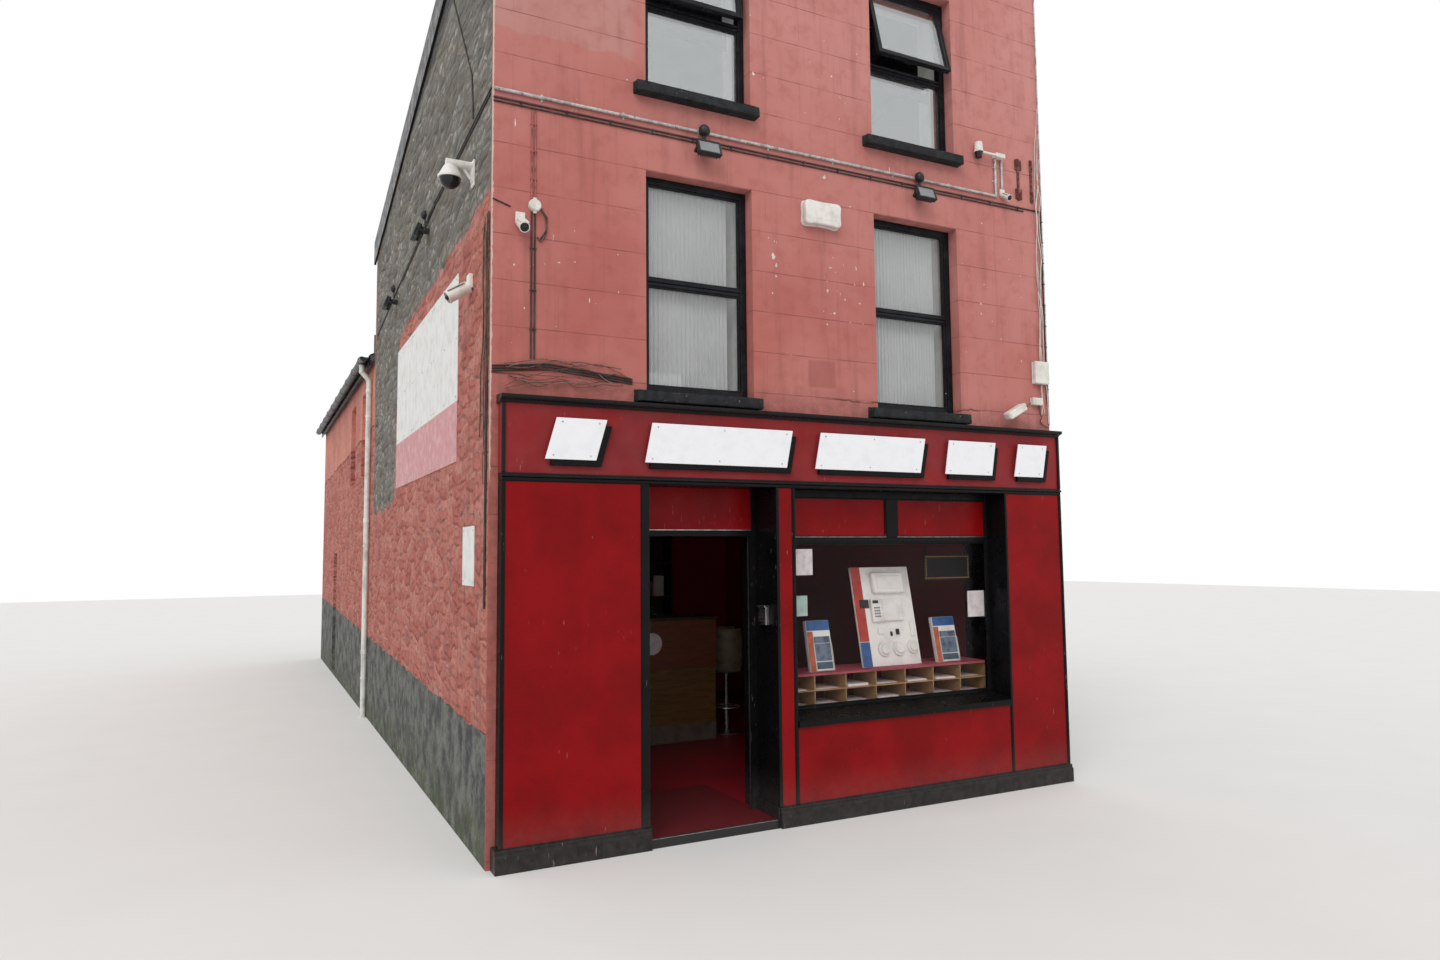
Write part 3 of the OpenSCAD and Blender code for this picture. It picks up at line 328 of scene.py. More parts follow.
def slab(low: Point, high: Point, edge: float = 0.002, segments: int = 2) -> Piece:
    """Box between two corners with rounded edges.

    Args:
        low: Lowest corner.
        high: Highest corner.
        edge: Width of the rounding.
        segments: Steps of the rounding.

    Returns:
        The new piece.
    """
    middle = [(a + b) / 2 for a, b in zip(low, high)]
    size = [b - a for a, b in zip(low, high)]
    bpy.ops.mesh.primitive_cube_add(size=1, location=middle, scale=size)
    return bevelled(settle(bpy.context.object), min(edge, 0.45 * min(size)), segments)


def face_out() -> None:
    """In edit mode, turn all faces outwards and go back to object mode."""
    bpy.ops.mesh.select_all(action="SELECT")
    bpy.ops.mesh.normals_make_consistent(inside=False)
    bpy.ops.object.mode_set(mode="OBJECT")


def profile(outline: list[Pair], axis: Axis, start: float, end: float) -> Piece:
    """Flat outline extruded along an axis.

    Args:
        outline: Corners in the two directions that the axis names.
        axis: Direction of the extrusion.
        start: Place of the first end.
        end: Place of the other end.

    Returns:
        The new piece.
    """
    a, b, c = axis.value
    # A cylinder's corners come in pairs and in the same order each run, which an extrusion's faces don't.
    bpy.ops.mesh.primitive_cylinder_add(vertices=len(outline))
    piece = bpy.context.object
    for index, vertex in enumerate(piece.data.vertices):
        u, v = outline[index // 2]
        vertex.co[a], vertex.co[b], vertex.co[c] = u, v, (start, end)[index % 2]
    bpy.ops.object.mode_set(mode="EDIT")
    face_out()
    return piece


def rod(start: Point, end: Point, radius: float, sides: int = 16, end_radius: float | None = None) -> Piece:
    """Round bar or cone, shaded smooth.

    Args:
        start: Middle of the first end.
        end: Middle of the other end.
        radius: Radius at the first end.
        sides: Number of flat sides.
        end_radius: Radius at the other end, where it differs.

    Returns:
        The new piece.
    """
    a, b = Vector(start), Vector(end)
    bpy.ops.mesh.primitive_cone_add(
        vertices=sides, radius1=radius, radius2=radius if end_radius is None else end_radius,
        depth=(b - a).length, location=(a + b) / 2, rotation=(b - a).to_track_quat("Z", "Y").to_euler(),
    )
    return smooth(settle(bpy.context.object))


def ball(centre: Point, radius: float, rings: int = 16) -> Piece:
    """Smooth ball.

    Args:
        centre: Its middle.
        radius: Its radius.
        rings: Number of rings of faces.

    Returns:
        The new piece.
    """
    bpy.ops.mesh.primitive_uv_sphere_add(segments=2 * rings, ring_count=rings, radius=radius, location=centre)
    bpy.ops.object.shade_smooth()
    return settle(bpy.context.object)


def joined(parts: Sequence[Piece]) -> Piece:
    """Join parts into one piece with its origin at the world's.

    Args:
        parts: Parts to join, the leading one first.

    Returns:
        The joined piece.
    """
    only(*parts)
    if len(parts) > 1:
        bpy.ops.object.join()
    return bpy.context.view_layer.objects.active


def at(x: float, y: float, z: float, turn: float = 0, axis: str = "Z") -> Matrix:
    """Shift to a place after a turn in degrees about an axis through the origin."""
    return Matrix.Translation((x, y, z)) @ Matrix.Rotation(math.radians(turn), 4, axis)


def moved(piece: Piece, matrix: Matrix) -> Piece:
    """Move a piece's mesh by a matrix."""
    piece.data.transform(matrix)
    return piece


def copied(piece: Piece, matrix: Matrix) -> Piece:
    """Copy a piece with its own mesh and move the copy.

    Args:
        piece: Piece to copy.
        matrix: Move of the copy.

    Returns:
        The copy.
    """
    other = piece.copy()
    other.data = piece.data.copy()
    bpy.context.scene.collection.objects.link(other)
    return moved(other, matrix)


def choose(piece: Piece, test: Callable[[Any], bool], edges: bool = False) -> None:
    """Enter edit mode with only the faces or edges that pass a test selected.

    Args:
        piece: Piece to edit.
        test: Says whether a face or an edge is chosen.
        edges: Whether edges are tested, not faces.
    """
    only(piece)
    bpy.ops.object.mode_set(mode="EDIT")
    bpy.ops.mesh.select_mode(type="EDGE" if edges else "FACE")
    bpy.ops.mesh.select_all(action="DESELECT")
    bpy.ops.object.mode_set(mode="OBJECT")
    for item in piece.data.edges if edges else piece.data.polygons:
        item.select = test(item)
    bpy.ops.object.mode_set(mode="EDIT")


def ring(low: Point, high: Point, width: float, edge: float = 0.0015) -> Piece:
    """Rectangular frame that faces along Y.

    Args:
        low: Lowest outer corner.
        high: Highest outer corner.
        width: Width of its four members.
        edge: Rounding of its edges.

    Returns:
        The new piece.
    """
    piece = slab(low, high, 0)
    choose(piece, lambda face: abs(face.normal.y) > 0.9)
    bpy.ops.mesh.inset(thickness=width, depth=0, use_individual=True)
    bpy.ops.mesh.bridge_edge_loops()
    face_out()
    return bevelled(piece, edge)


def tube(points: list[Point], radius: float) -> Piece:
    """Round cable along a smooth line through points, as a mesh.

    Args:
        points: Points that lead the line.
        radius: Radius of the cable.

    Returns:
        The new piece.
    """
    bpy.ops.curve.primitive_nurbs_path_add()
    curve = bpy.context.object.data
    curve.splines.clear()
    line = curve.splines.new("NURBS")
    line.points.add(len(points) - 1)
    for point, place in zip(line.points, points):
        point.co = (*place, 1)
    line.order_u, line.resolution_u = 3, 3
    line.use_endpoint_u = True
    curve.bevel_depth, curve.bevel_resolution = radius, 1
    curve.use_fill_caps = True
    only(bpy.context.object)
    bpy.ops.object.convert(target="MESH")
    return settle(bpy.context.object)


def spaced(start: float, step: float, count: int) -> list[float]:
    """Places of things in a row."""
    return [start + index * step for index in range(count)]


def repeated(piece: Piece, count: int, step: Point) -> Piece:
    """Repeat a piece along a line."""
    settings = {"use_relative_offset": False, "use_constant_offset": True, "constant_offset_displace": step}
    return apply_modifier(piece, "ARRAY", count=count, **settings)


def uneven(piece: Piece, size: float, depth: float, step: float) -> Piece:
    """Cut a stone's faces finely and push them in and out a little.

    Args:
        piece: Stone with flat faces.
        size: Size of the unevenness.
        depth: Its depth.
        step: Longest edge that is left.

    Returns:
        The same piece.
    """
    apply_modifier(piece, "TRIANGULATE")
    mesh = piece.data

    def is_long(edge: bpy.types.MeshEdge) -> bool:
        """Say whether an edge is still longer than the step."""
        a, b = (mesh.vertices[index].co for index in edge.vertices)
        return (a - b).length > step

    while any(is_long(edge) for edge in mesh.edges):
        choose(piece, is_long, edges=True)
        bpy.ops.mesh.subdivide(number_cuts=1)
        bpy.ops.object.mode_set(mode="OBJECT")
    clouds = bpy.data.textures.new("unevenness", "CLOUDS")
    clouds.noise_scale = size
    apply_modifier(piece, "DISPLACE", texture=clouds, strength=depth, mid_level=0.5)
    return smooth(piece, 35)


def cover(piece: Piece, finish: Material) -> None:
    """Give a piece or a CAD node its finish."""
    piece.data.materials.clear()
    piece.data.materials.append(finish)


def with_rooms(p: Paint, colour: Level) -> tuple[Level, Level]:
    """Give the inner faces of walls their plaster, deep red in the shop.

    Args:
        p: Paint of the finish.
        colour: Colour of the outer faces.

    Returns:
        The colour of all faces, and a mask of the inner ones.
    """
    fade, masks = 0.02, []
    for ((x0, x1), (y0, y1), top), roof in zip(
        ROOMS, (p.y * MAIN_RISE + p.z, abs(p.x - 1.5) * BACK_RISE + p.z)
    ):
        across = p.x.rise(x0, x0 + fade) * p.x.fall(x1 - fade, x1)
        along = p.y.rise(y0, y0 + fade) * p.y.fall(y1 - fade, y1)
        masks.append(across * along * roof.fall(top - 0.01, top + 0.01))
    tone = p.noise(500, 4)
    shop = p.z.fall(2.6, 2.61) * p.y.fall(6.2, 6.3)
    room = shop.blend(tone.blend("cfccc4", "dddad2"), tone.blend("8c1c28", "a02632"))
    inner = masks[0] | masks[1]
    return inner.blend(colour, room), inner


@dataclass(frozen=True)
class CornerWalls:
    """Sand and lime render under salmon masonry paint on the street, coursed rubble on the gable.

    The render is chalky and scribed as ashlar. The rubble has thin beds, and paint on its lower part.
    """

    bare: str = "d3c8ba"
    course: float = 0.3252
    first_joint: float = 3.308
    block: float = 0.68
    bed_mm: float = 75
    stone_mm: float = 230
    dusty_above: float = 5.66
    mended: Pair = (2.69, 3.5)
    crack_z: float = 3.268
    return_y: float = 6.36
    # Slope along Y, and height at the street, of three lines on the side; painted shadow of the verge lies over
    # the second
    return_seam: Pair = (-0.025, 3.84)
    verge_shadow_line: Pair = (-0.109, 6.86)
    cement_top: Pair = (0.026, 0.8)

    def joints(self, p: Paint) -> Level:
        """Lines scribed in the render, stronger along the beds than at the heads of the blocks.

        Args:
            p: Paint of the finish.

        Returns:
            Share of the lines.
        """
        up = p.noise(180, 2) * 0.006 + p.z - (self.first_joint + 0.003)
        row = up.math("DIVIDE", self.course).math("FLOOR").math("MODULO", 2.0)
        along = row * (self.block / 2) + (p.x + 10.06)
        bed = up.math("PINGPONG", self.course / 2).fall(0.0015, 0.005)
        head = along.math("PINGPONG", self.block / 2).fall(0.001, 0.004) * 0.35
        return (bed | head) * p.noise(260, 3).rise(0.35, 0.6, 0.35, 1)

    def street(self, p: Paint) -> tuple[Level, Level]:
        """Paint the street wall.

        Args:
            p: Paint of the finish.

        Returns:
            Colour and height of the scribed render.
        """
        line = self.joints(p)
        chalk = p.x * 0.06 + p.z.rise(3.4, 6.6, 0, 0.45) + p.noise(1200, 3).rise(0.3, 0.7, -0.15, 0.15)
        tide = p.noise(300, 3) * 0.22 + self.dusty_above
        dusty = (p.z - tide).rise(-0.01, 0.02) * p.x.rise(1.0, 1.12, 0.28, 0)
        patch = abs(p.x - self.mended[0]).fall(0.12, 0.14) * abs(p.z - self.mended[1]).fall(0.1, 0.12)
        damp = p.z.fall(3.14, 3.42) * p.patches(90, 5, 0.7, 0.35, 0.62)
        crack_z = p.noise(160, 4, 0.6) * 0.07 + self.crack_z
        crack = abs(p.z - crack_z).fall(0.002, 0.009) * p.patches(700, 2, 0.55, 0.42, 0.5)
        specks = p.add("TexVoronoi", {"Vector": p, "Scale": 26.0, "Randomness": 1.0}, "Distance")
        chips = specks.fall(0.05, 0.11) * p.patches(420, 4, 0.7, 0.63, 0.7)
        arris = p.noise(60, 5, 0.7) * -0.03 + (p.x | p.y)
        edge = arris.rise(-0.009, -0.003, 0.8, 0) * p.z.rise(2.5, 2.7)
        colour = p.patches(900, 4, 0.55, 0.35, 0.65).blend("a85f58", "b06a62").under(
            (chalk, "c58a84"), (dusty, "b39a90"), (patch * 0.35, "84443f"),
            (p.patches(140, 5, 0.6, 0.45, 0.75, 0.38), "985049"),
            (p.streaks((9, 1, 0.7), 0.5, 0.75, 0.32), "7d4843"), (damp * 0.35, "5a3a34"),
            (crack * 0.8, "4e2a22"), (line * 0.62, "6f3a37"), ((chips | edge) * 0.85, self.bare),
        )
        return colour, line * -0.5 + (p.noise(5, 3, 0.6) * 0.12 + p.noise(160, 3) * 0.5)

    def stones(self, p: Paint) -> tuple[Level, Level, Level, Level]:
        """Lay the rubble.

        Args:
            p: Paint of the finish.

        Returns:
            A tone for each stone, how clear of its joint a point is, how far it swells, and the bare colour.
        """
        bend = p.add("TexNoise", {"Vector": p, "Scale": 6.0, "Detail": 5.0}, "Color")
        bent = p.add("Mix", {0: 0.1, 4: p, 5: bend}, 1, data_type="VECTOR")
        stretch = (1 / (self.stone_mm * MM), 1 / (self.stone_mm * MM), 1 / (self.bed_mm * MM))
        cells = {
            "Vector": p.add("Mapping", {"Vector": bent, "Scale": stretch}), "Scale": 1.0, "Randomness": 0.9
        }
        joint = p.add("TexVoronoi", cells, "Distance", feature="DISTANCE_TO_EDGE")
        tone = p.add("SeparateColor", {0: p.add("TexVoronoi", cells, "Color")})
        gap = joint.rise(0.02, 0.16)
        stone = tone.blend("5f5d5a", "a9a59d").under(
            (p.patches(350, 4, 0.55, 0.42, 0.66, 0.6), "715f4e"),
            (p.patches(45, 6, 0.7, 0.42, 0.66, 0.5), "3b3b39"),
        )
        return tone, gap, joint.rise(0.0, 0.38), gap.blend("6c6962", stone)

    def painted(self, p: Paint) -> Level:
        """Mask of the painted part: all of the return, and the gable up to a ragged edge.

        Args:
            p: Paint of the finish.

        Returns:
            The mask.
        """
        edge_at = (
            (0.0, 0.92), (0.35, 0.9), (0.607, 0.892), (0.625, 0.78), (0.64, 0.53), (0.9, 0.52), (0.905, 1.0)
        )
        node = add_node(p.tree, "ValToRGB", {0: p.y.math("DIVIDE", 7.0)})
        line = node.color_ramp.elements
        while len(line) < len(edge_at):
            line.new(0.5)
        for element, (spot, level) in zip(line, edge_at):
            element.position = spot
            element.color = (level, level, level, 1)
        limit = Level(p.tree, node.outputs[0]) * 5.0 + (p.noise(180, 5, 0.65) * 0.35 - 0.17)
        return (limit - p.z).rise(-0.02, 0.03) | p.y.rise(self.return_y, self.return_y + 0.04)

    def side(self, p: Paint) -> tuple[Level, Level]:
        """Paint the gable and the side of the return.

        Args:
            p: Paint of the finish.

        Returns:
            Colour and height of the rubble, the smooth render over it and the cement at its foot.
        """
        tone, gap, swell, stone = self.stones(p)
        top_line = p.noise(500, 3) * 0.16 + (p.y * self.return_seam[0] + self.return_seam[1])
        behind = p.y.rise(self.return_y, self.return_y + 0.04)
        smooth = behind * (p.z - top_line).rise(0.0, 0.03)
        crack = abs(p.z - top_line).fall(0.004, 0.016) * behind
        lost = p.patches(110, 6, 0.75, 0.55, 0.64) * smooth.rest()
        # Darker towards the sunk joints between the painted stones: painted shade in the joints
        sunk_joint_shade = gap.fall(0.0, 0.8) * p.noise(90, 4).rise(0.45, 0.7, 0.0, 0.38)
        coat = p.patches(300, 4, 0.55, 0.35, 0.65).blend("b26457", "a85a50").under(
            (tone * 0.4, "d9a294"), (p.patches(45, 5, 0.75, 0.56, 0.68, 0.45), "d8b0a4"),
            (p.patches(70, 6, 0.8, 0.5, 0.66, 0.72), "583a34"),
            (smooth, p.patches(800, 4, 0.55, 0.4, 0.65).blend("c58474", "b6756a")), (crack * 0.7, "3e2723"),
            (lost * 0.7, stone), (sunk_joint_shade, "63362f"), (p.streaks((1, 5, 0.6), 0.5, 0.75, 0.35), "5f3c38"),
        )
        # Line under the verge: a pale strip along it, and painted shadow of the verge over it
        roof = p.y * self.verge_shadow_line[0] + self.verge_shadow_line[1]
        gable = p.y.fall(6.3, 6.35)
        foot = p.noise(250, 4) * 0.12 + (p.y * self.cement_top[0] + self.cement_top[1])
        plinth = (p.z - foot).fall(-0.006, 0.006)
        cement = p.patches(220, 6, 0.7, 0.35, 0.65).blend("3c3e3f", "74756f")
        moss = p.z.fall(0.05, 0.5) * p.patches(150, 6, 0.75, 0.42, 0.6, 0.9)
        colour = self.painted(p).blend(stone, coat).under(
            # Pale strip along the verge line, then the dark bluish band over it, which is painted shadow of the
            # verge
            (abs(p.z - roof).fall(0.015, 0.05) * 0.5 * gable, "8d8980"),
            ((p.z - roof).rise(0.0, 0.1, 0, 0.6) * gable, "2f3237"), (plinth, cement), (moss, "4a5138"),
        )
        rough = p.noise(18, 5, 0.65) * 0.45 + swell * 1.1
        return colour, p.add("Mix", {0: smooth | plinth, 2: rough, 3: p.noise(60, 4)}, data_type="FLOAT")

    def build(self) -> Material:
        """Make the material of the walls round the corner.

        Returns:
            The finished material.
        """
        p = Paint("salmon_masonry_paint")
        street, flat_height = self.street(p)
        side, rough_height = self.side(p)
        edge = p.noise(110, 4, 0.7) * 0.04 - 0.005
        gable = p.x.fall(0.003, 0.005) * (p.y - edge).rise(0.0, 0.01) | p.y.rise(0.44, 0.445)
        rear = (abs(p.y - 6.42).fall(0.004, 0.008) | p.y.rise(14.652, 14.656)) * p.x.rise(0.002, 0.004)
        end = p.x.rise(5.195, 5.198) * p.y.rise(0.01, 0.02)
        plain = p.patches(700, 5, 0.6, 0.35, 0.68).blend("8d8981", "7b776f")
        colour, inner = with_rooms(p, (end | rear).blend(gable.blend(street, side), plain))
        flat = p.bump(flat_height * gable.rest(), 3.0)
        normal = p.bump(rough_height * (gable * (inner | rear).rest()), 22.0, flat)
        return p.close(colour, 0.88, normal, 0.25)


@dataclass(frozen=True)
class PlainRender:
    """Sand and cement render on the walls that the street doesn't see: grey, trowelled, rain stained."""

    name: str = "cement_render"

    def build(self) -> Material:
        """Make the material.

        Returns:
            The finished material.
        """
        p = Paint(self.name)
        foot = p.z.fall(0.1, 0.6) * p.noise(130, 5, 0.7).rise(0.4, 0.65, 0.2, 0.8)
        colour = p.patches(700, 5, 0.6, 0.35, 0.68).blend("8d8981", "7b776f").under(
            (p.streaks((6, 6, 0.5), 0.5, 0.75, 0.38, 5), "5c5a54"), (foot, "4d5040")
        )
        height = p.noise(4, 3) * 0.25 + p.noise(110, 3)
        colour = with_rooms(p, colour)[0]
        return p.close(colour, 0.9, p.bump(height, 2.2), 0.25)


@dataclass(frozen=True)
class GlossPaint:
    """Oil gloss paint on boards: brush marks along the grain, dust low down, bloom on top, pale scuffs."""

    name: str
    colour: str
    shade: str
    rough: float = 0.3
    shine: float = 0.12
    bloom: str = "3f3b3c"

    def build(self) -> Material:
        """Make the material.

        Returns:
            The finished material.
        """
        p = Paint(self.name)
        scuffs = p.streaks((160, 160, 9), 0.72, 0.76, 0.6, 2, 0.5) * p.patches(600, 3, 0.55, 0.5, 0.6)
        tone = p.patches(420, 4, 0.55, 0.35, 0.68).blend(self.colour, self.shade).under(
            (p.streaks((14, 14, 0.8), 0.5, 0.8, 0.2, 3, 0.5), self.shade),
            (p.z.rise(0.0, 0.45, 0.36, 0.0) * p.noise(60, 4, 0.6), "6f6a66"),
            (p.z.rise(2.57, 2.6, 0, 0.3) * p.noise(260, 5, 0.6), self.bloom), (scuffs, "c9a9a4"),
        )
        brush = p.noise(1000, 3, 0.6, (300, 300, 14)) * 0.5 + p.noise(40, 3)
        rough = p.noise(110, 5, 0.65).rise(0.3, 0.7, self.rough - 0.06, self.rough + 0.16)
        return p.close(tone, rough, p.bump(brush, 0.25), self.shine)


@dataclass(frozen=True)
class MouldedPlastic:
    """Extruded or moulded plastic with a fine even grain and a little weathering."""

    name: str
    colour: str
    worn: str
    rough: float = 0.38
    grain_mm: float = 1.2
    shine: float = 0.5

    def build(self) -> Material:
        """Make the material.

        Returns:
            The finished material.
        """
        p = Paint(self.name)
        tone = p.patches(130, 5, 0.65, 0.42, 0.72).blend(self.colour, self.worn)
        tone = tone.under((p.streaks((40, 40, 4), 0.56, 0.75, 0.3), self.worn))
        grain = p.bump(p.noise(self.grain_mm, 2), 0.04)
        rough = p.sheen(self.rough, 0.05, 0.12, 60)
        return p.close(tone, rough, grain, self.shine, IOR=PLASTIC_IOR)


@dataclass(frozen=True)
class CutStone:
    """Dressed dark limestone: pitted, lichen spotted, with pale chips along its arrises."""

    name: str = "dark_limestone"
    dark: str = "2f3132"
    pale: str = "4e5150"
    chip: str = "b9b6ac"

    def build(self) -> Material:
        """Make the material.

        Returns:
            The finished material.
        """
        p = Paint(self.name)
        chips = p.patches(22, 4, 0.7, 0.66, 0.69) * p.patches(240, 2, 0.55, 0.52, 0.6)
        tone = p.patches(70, 6, 0.65, 0.35, 0.68).blend(self.dark, self.pale).under(
            (p.patches(16, 4, 0.7, 0.62, 0.72, 0.6), "6b6f63"), (chips, self.chip)
        )
        pits = p.bump(p.noise(5, 4, 0.7) * 0.4 + p.noise(45, 4), 3.5)
        return p.close(tone, 0.86, pits, 0.3)


@dataclass(frozen=True)
class RoofSlate:
    """Natural slate: riven, each one its own grey, with lichen; step is a slate's share of X and Y."""

    name: str = "roof_slate"
    step: Pair = (0.2598, 0.198)

    def build(self) -> Material:
        """Make the material.

        Returns:
            The finished material.
        """
        p = Paint(self.name)
        spread = p.add("Mapping", {"Vector": p, "Scale": (1 / self.step[0], 1 / self.step[1], 0.01)})
        cells = p.add("TexVoronoi", {"Vector": spread, "Scale": 1.0, "Randomness": 0.0}, "Color")
        lichen = p.patches(35, 5, 0.7, 0.6, 0.66, 0.7) * p.patches(900, 2, 0.55, 0.45, 0.6)
        colour = p.add("SeparateColor", {0: cells}).blend("33363b", "555a60").under(
            (p.patches(300, 5, 0.65, 0.5, 0.75, 0.5), "5b5348"), (lichen, "8d9074")
        )
        riven = p.bump(p.noise(60, 5, 0.6, (1, 3, 1)), 2.5)
        return p.close(colour, 0.6, riven, 0.4)


@dataclass(frozen=True)
class SheetMetal:
    """Metal with a dull worn skin, such as lead, galvanised steel or satin stainless steel."""

    name: str
    colour: str
    tarnish: str
    rough: float = 0.45
    metallic: float = 1.0
    rust: float = 0.0

    def build(self) -> Material:
        """Make the material; rust eats away the shine where it has a share.

        Returns:
            The finished material.
        """
        p = Paint(self.name)
        eaten = p.patches(28, 6, 0.72, 0.62 - 0.2 * self.rust, 0.7 - 0.2 * self.rust, min(1.0, self.rust * 2))
        tone = p.patches(60, 5, 0.65, 0.38, 0.7).blend(self.colour, self.tarnish).under((eaten, "5a2f22"))
        metal = eaten * -self.metallic + self.metallic
        rough = eaten * 0.4 + p.sheen(self.rough, 0.08, 0.12, 20)
        return p.close(tone, rough, p.bump(eaten * 0.5 + p.noise(9, 4), 0.4), Metallic=metal)


@dataclass(frozen=True)
class PaneGlass:
    """Float glass: clear, with a film of street dust; the sky lies on it as a grey sheen."""

    name: str = "float_glass"
    tint: str = "fbfafa"
    film: str = "8f9799"
    reflect: float = 0.005
    haze: float = 0.007
    high_reflect: float = 0.0

    def build(self) -> Material:
        """Make the material; a pane is a slab, so every value counts twice.

        Returns:
            The finished material.
        """
        p = Paint(self.name)
        wave = p.bump(p.noise(700, 1), 0.6)
        least = p.z.rise(3.6, 4.9, self.reflect, 2 * self.reflect) | p.z.rise(5.2, 5.3, 0, self.high_reflect)
        share = p.add("LayerWeight", {"Blend": 0.12, "Normal": wave}, "Fresnel") | least
        gloss = p.add("BsdfGlossy", {"Color": "f2f5f6", "Roughness": 0.02, "Normal": wave})
        clear = p.add("BsdfTransparent", {"Color": self.tint})
        dust = p.add("BsdfDiffuse", {"Color": self.film})
        filmed = p.add("MixShader", {0: p.patches(420, 5, 0.65, 0.3, 0.75) * self.haze, 1: clear, 2: dust})
        return p.show(p.add("MixShader", {0: share, 1: filmed, 2: gloss}))


@dataclass(frozen=True)
class NetCurtain:
    """Knitted polyester net: a fine see-through mesh that closes up where it lies in folds."""

    mesh_mm: float = 4.0
    cover: float = 0.82

    def build(self) -> Material:
        """Make the material; the mesh is drawn coarser than the real 1 mm one so that it shows.

        Returns:
            The finished material.
        """
        p = Paint("polyester_net")
        step = self.mesh_mm * MM
        across, up = (axis.math("PINGPONG", step / 2).fall(step * 0.12, step * 0.2) for axis in (p.x, p.z))
        thread = across | up
        tone = p.noise(300, 3).blend("f0efee", "d9d8d8")
        cloth = p.add("BsdfDiffuse", {"Color": tone, "Roughness": 0.6, "Normal": p.bump(thread, 0.3)})
        body = p.add("MixShader", {0: 0.18, 1: cloth, 2: p.add("BsdfTranslucent", {"Color": tone})})
        share = thread * (1 - self.cover) + (self.cover - 0.04)
        return p.show(
            p.add("MixShader", {0: share, 1: p.add("BsdfTransparent", {"Color": "ffffff"}), 2: body})
        )


@dataclass(frozen=True)
class WoodBoard:
    """Wood or wood-faced board: long grain along one axis, under a thin lacquer or paint."""

    name: str
    pale: str
    dark: str
    grain: Point = (6.0, 90.0, 90.0)
    rough: float = 0.5

    def build(self) -> Material:
        """Make the material.

        Returns:
            The finished material.
        """
        p = Paint(self.name)
        grain = p.noise(1000, 6, 0.6, self.grain)
        tone = grain.rise(0.35, 0.68).blend(self.pale, self.dark)
        tone = tone.under((p.patches(260, 4, 0.55, 0.4, 0.75, 0.3), self.dark))
        rough = p.sheen(self.rough, 0.06, 0.1, 80)
        return p.close(tone, rough, p.bump(grain, 0.25))


@dataclass(frozen=True)
class DisplayShelf:
    """Oak faced shelves whose top one carries a worn crimson cloth covering."""

    cloth_z: float = 1.064

    def build(self) -> Material:
        """Make the material.

        Returns:
            The finished material.
        """
        p = Paint("oak_and_crimson_shelf")
        wood = p.streaks((6, 90, 90), 0.35, 0.68, 1, 6).blend("b8946a", "94704c")
        cloth = p.patches(200, 4, 0.55, 0.35, 0.7).blend("b5505e", "95404e")
        colour = p.z.rise(self.cloth_z - 0.0005, self.cloth_z + 0.0005).blend(wood, cloth)
        return p.close(colour, 0.6, p.bump(p.noise(3, 2), 0.15), 0.3)


@dataclass(frozen=True)
class VinylFloor:
    """Red sheet vinyl with a worn path, a coarse dark ribbed mat inside the door and a black nosing."""

    mat_y: float = 1.15

    def build(self) -> Material:
        """Make the material.

        Returns:
            The finished material.
        """
        p = Paint("red_sheet_vinyl")
        rib = p.y.math("PINGPONG", 0.006).rise(0.002, 0.004)
        mat = p.x.rise(1.18, 1.19) * p.x.fall(2.16, 2.17) * p.y.fall(self.mat_y, self.mat_y + 0.005)
        colour = p.patches(500, 5, 0.6, 0.35, 0.7).blend("8a1622", "74121c").under(
            (p.patches(14, 3, 0.55, 0.55, 0.7, 0.3), "9a2a33"), (mat, rib.blend("4c0a12", "7d121d")),
            (p.y.fall(-0.098, -0.096), "1b1a1c"),
        )
        return p.close(colour, 0.42, p.bump(mat * rib, 3.0))


@dataclass(frozen=True)
class Upholstery:
    """Cream grained leathercloth, soft and slightly shiny, with creases where it is sat on."""

    grain_mm: float = 2.5

    def build(self) -> Material:
        """Make the material.

        Returns:
            The finished material.
        """
        p = Paint("cream_leathercloth")
        tone = p.patches(90, 5, 0.6, 0.4, 0.7).blend("776d57", "5c543f")
        grain = p.add("TexVoronoi", {"Vector": p, "Scale": 1 / (self.grain_mm * MM)}, "Distance")
        creases = p.bump(grain * 0.4 + p.noise(50, 3), 0.5)
        return p.close(tone, 0.5, creases, **{"Sheen Weight": 0.1})


@dataclass(frozen=True)
class Paper:
    """Paper, card or printed sheet left without any print: plain tone with a faint curl and soiling."""

    name: str
    colour: str
    shade: str
    rough: float = 0.6

    def build(self) -> Material:
        """Make the material.

        Returns:
            The finished material.
        """
        p = Paint(self.name)
        tone = p.patches(70, 4, 0.55, 0.4, 0.7).blend(self.colour, self.shade)
        return p.close(tone, self.rough, p.bump(p.noise(120, 2), 1.2))


@dataclass(frozen=True)
class Rainwater:
    """Rainwater plastic: black gutters with a pale worn lip, and white downpipes streaked with grime."""

    eaves: tuple[Pair, Pair] = ((4.575, 4.58), (6.08, 6.09))

    def build(self) -> Material:
        """Make the material.

        Returns:
            The finished material.
        """
        p = Paint("rainwater_plastic")
        pipe = p.patches(140, 5, 0.6, 0.4, 0.7).blend("d9d9d4", "b6b4ac")
        pipe = pipe.under((p.streaks((30, 30, 3), 0.52, 0.72, 0.5), "8d8c84"))
        outside = p.x.fall(-0.078, -0.076) | p.x.rise(3.076, 3.078)
        gutter = p.z.rise(*self.eaves[0]) * p.y.rise(6.438, 6.44) * outside | p.z.rise(*self.eaves[1])
        colour = gutter.blend(pipe, p.patches(90, 4, 0.55, 0.4, 0.7).blend("1f2124", "34373a"))
        rough = p.sheen(0.4, 0.05, 0.1, 60)
        return p.close(colour, rough, p.bump(p.noise(2, 2), 0.05), IOR=PLASTIC_IOR)


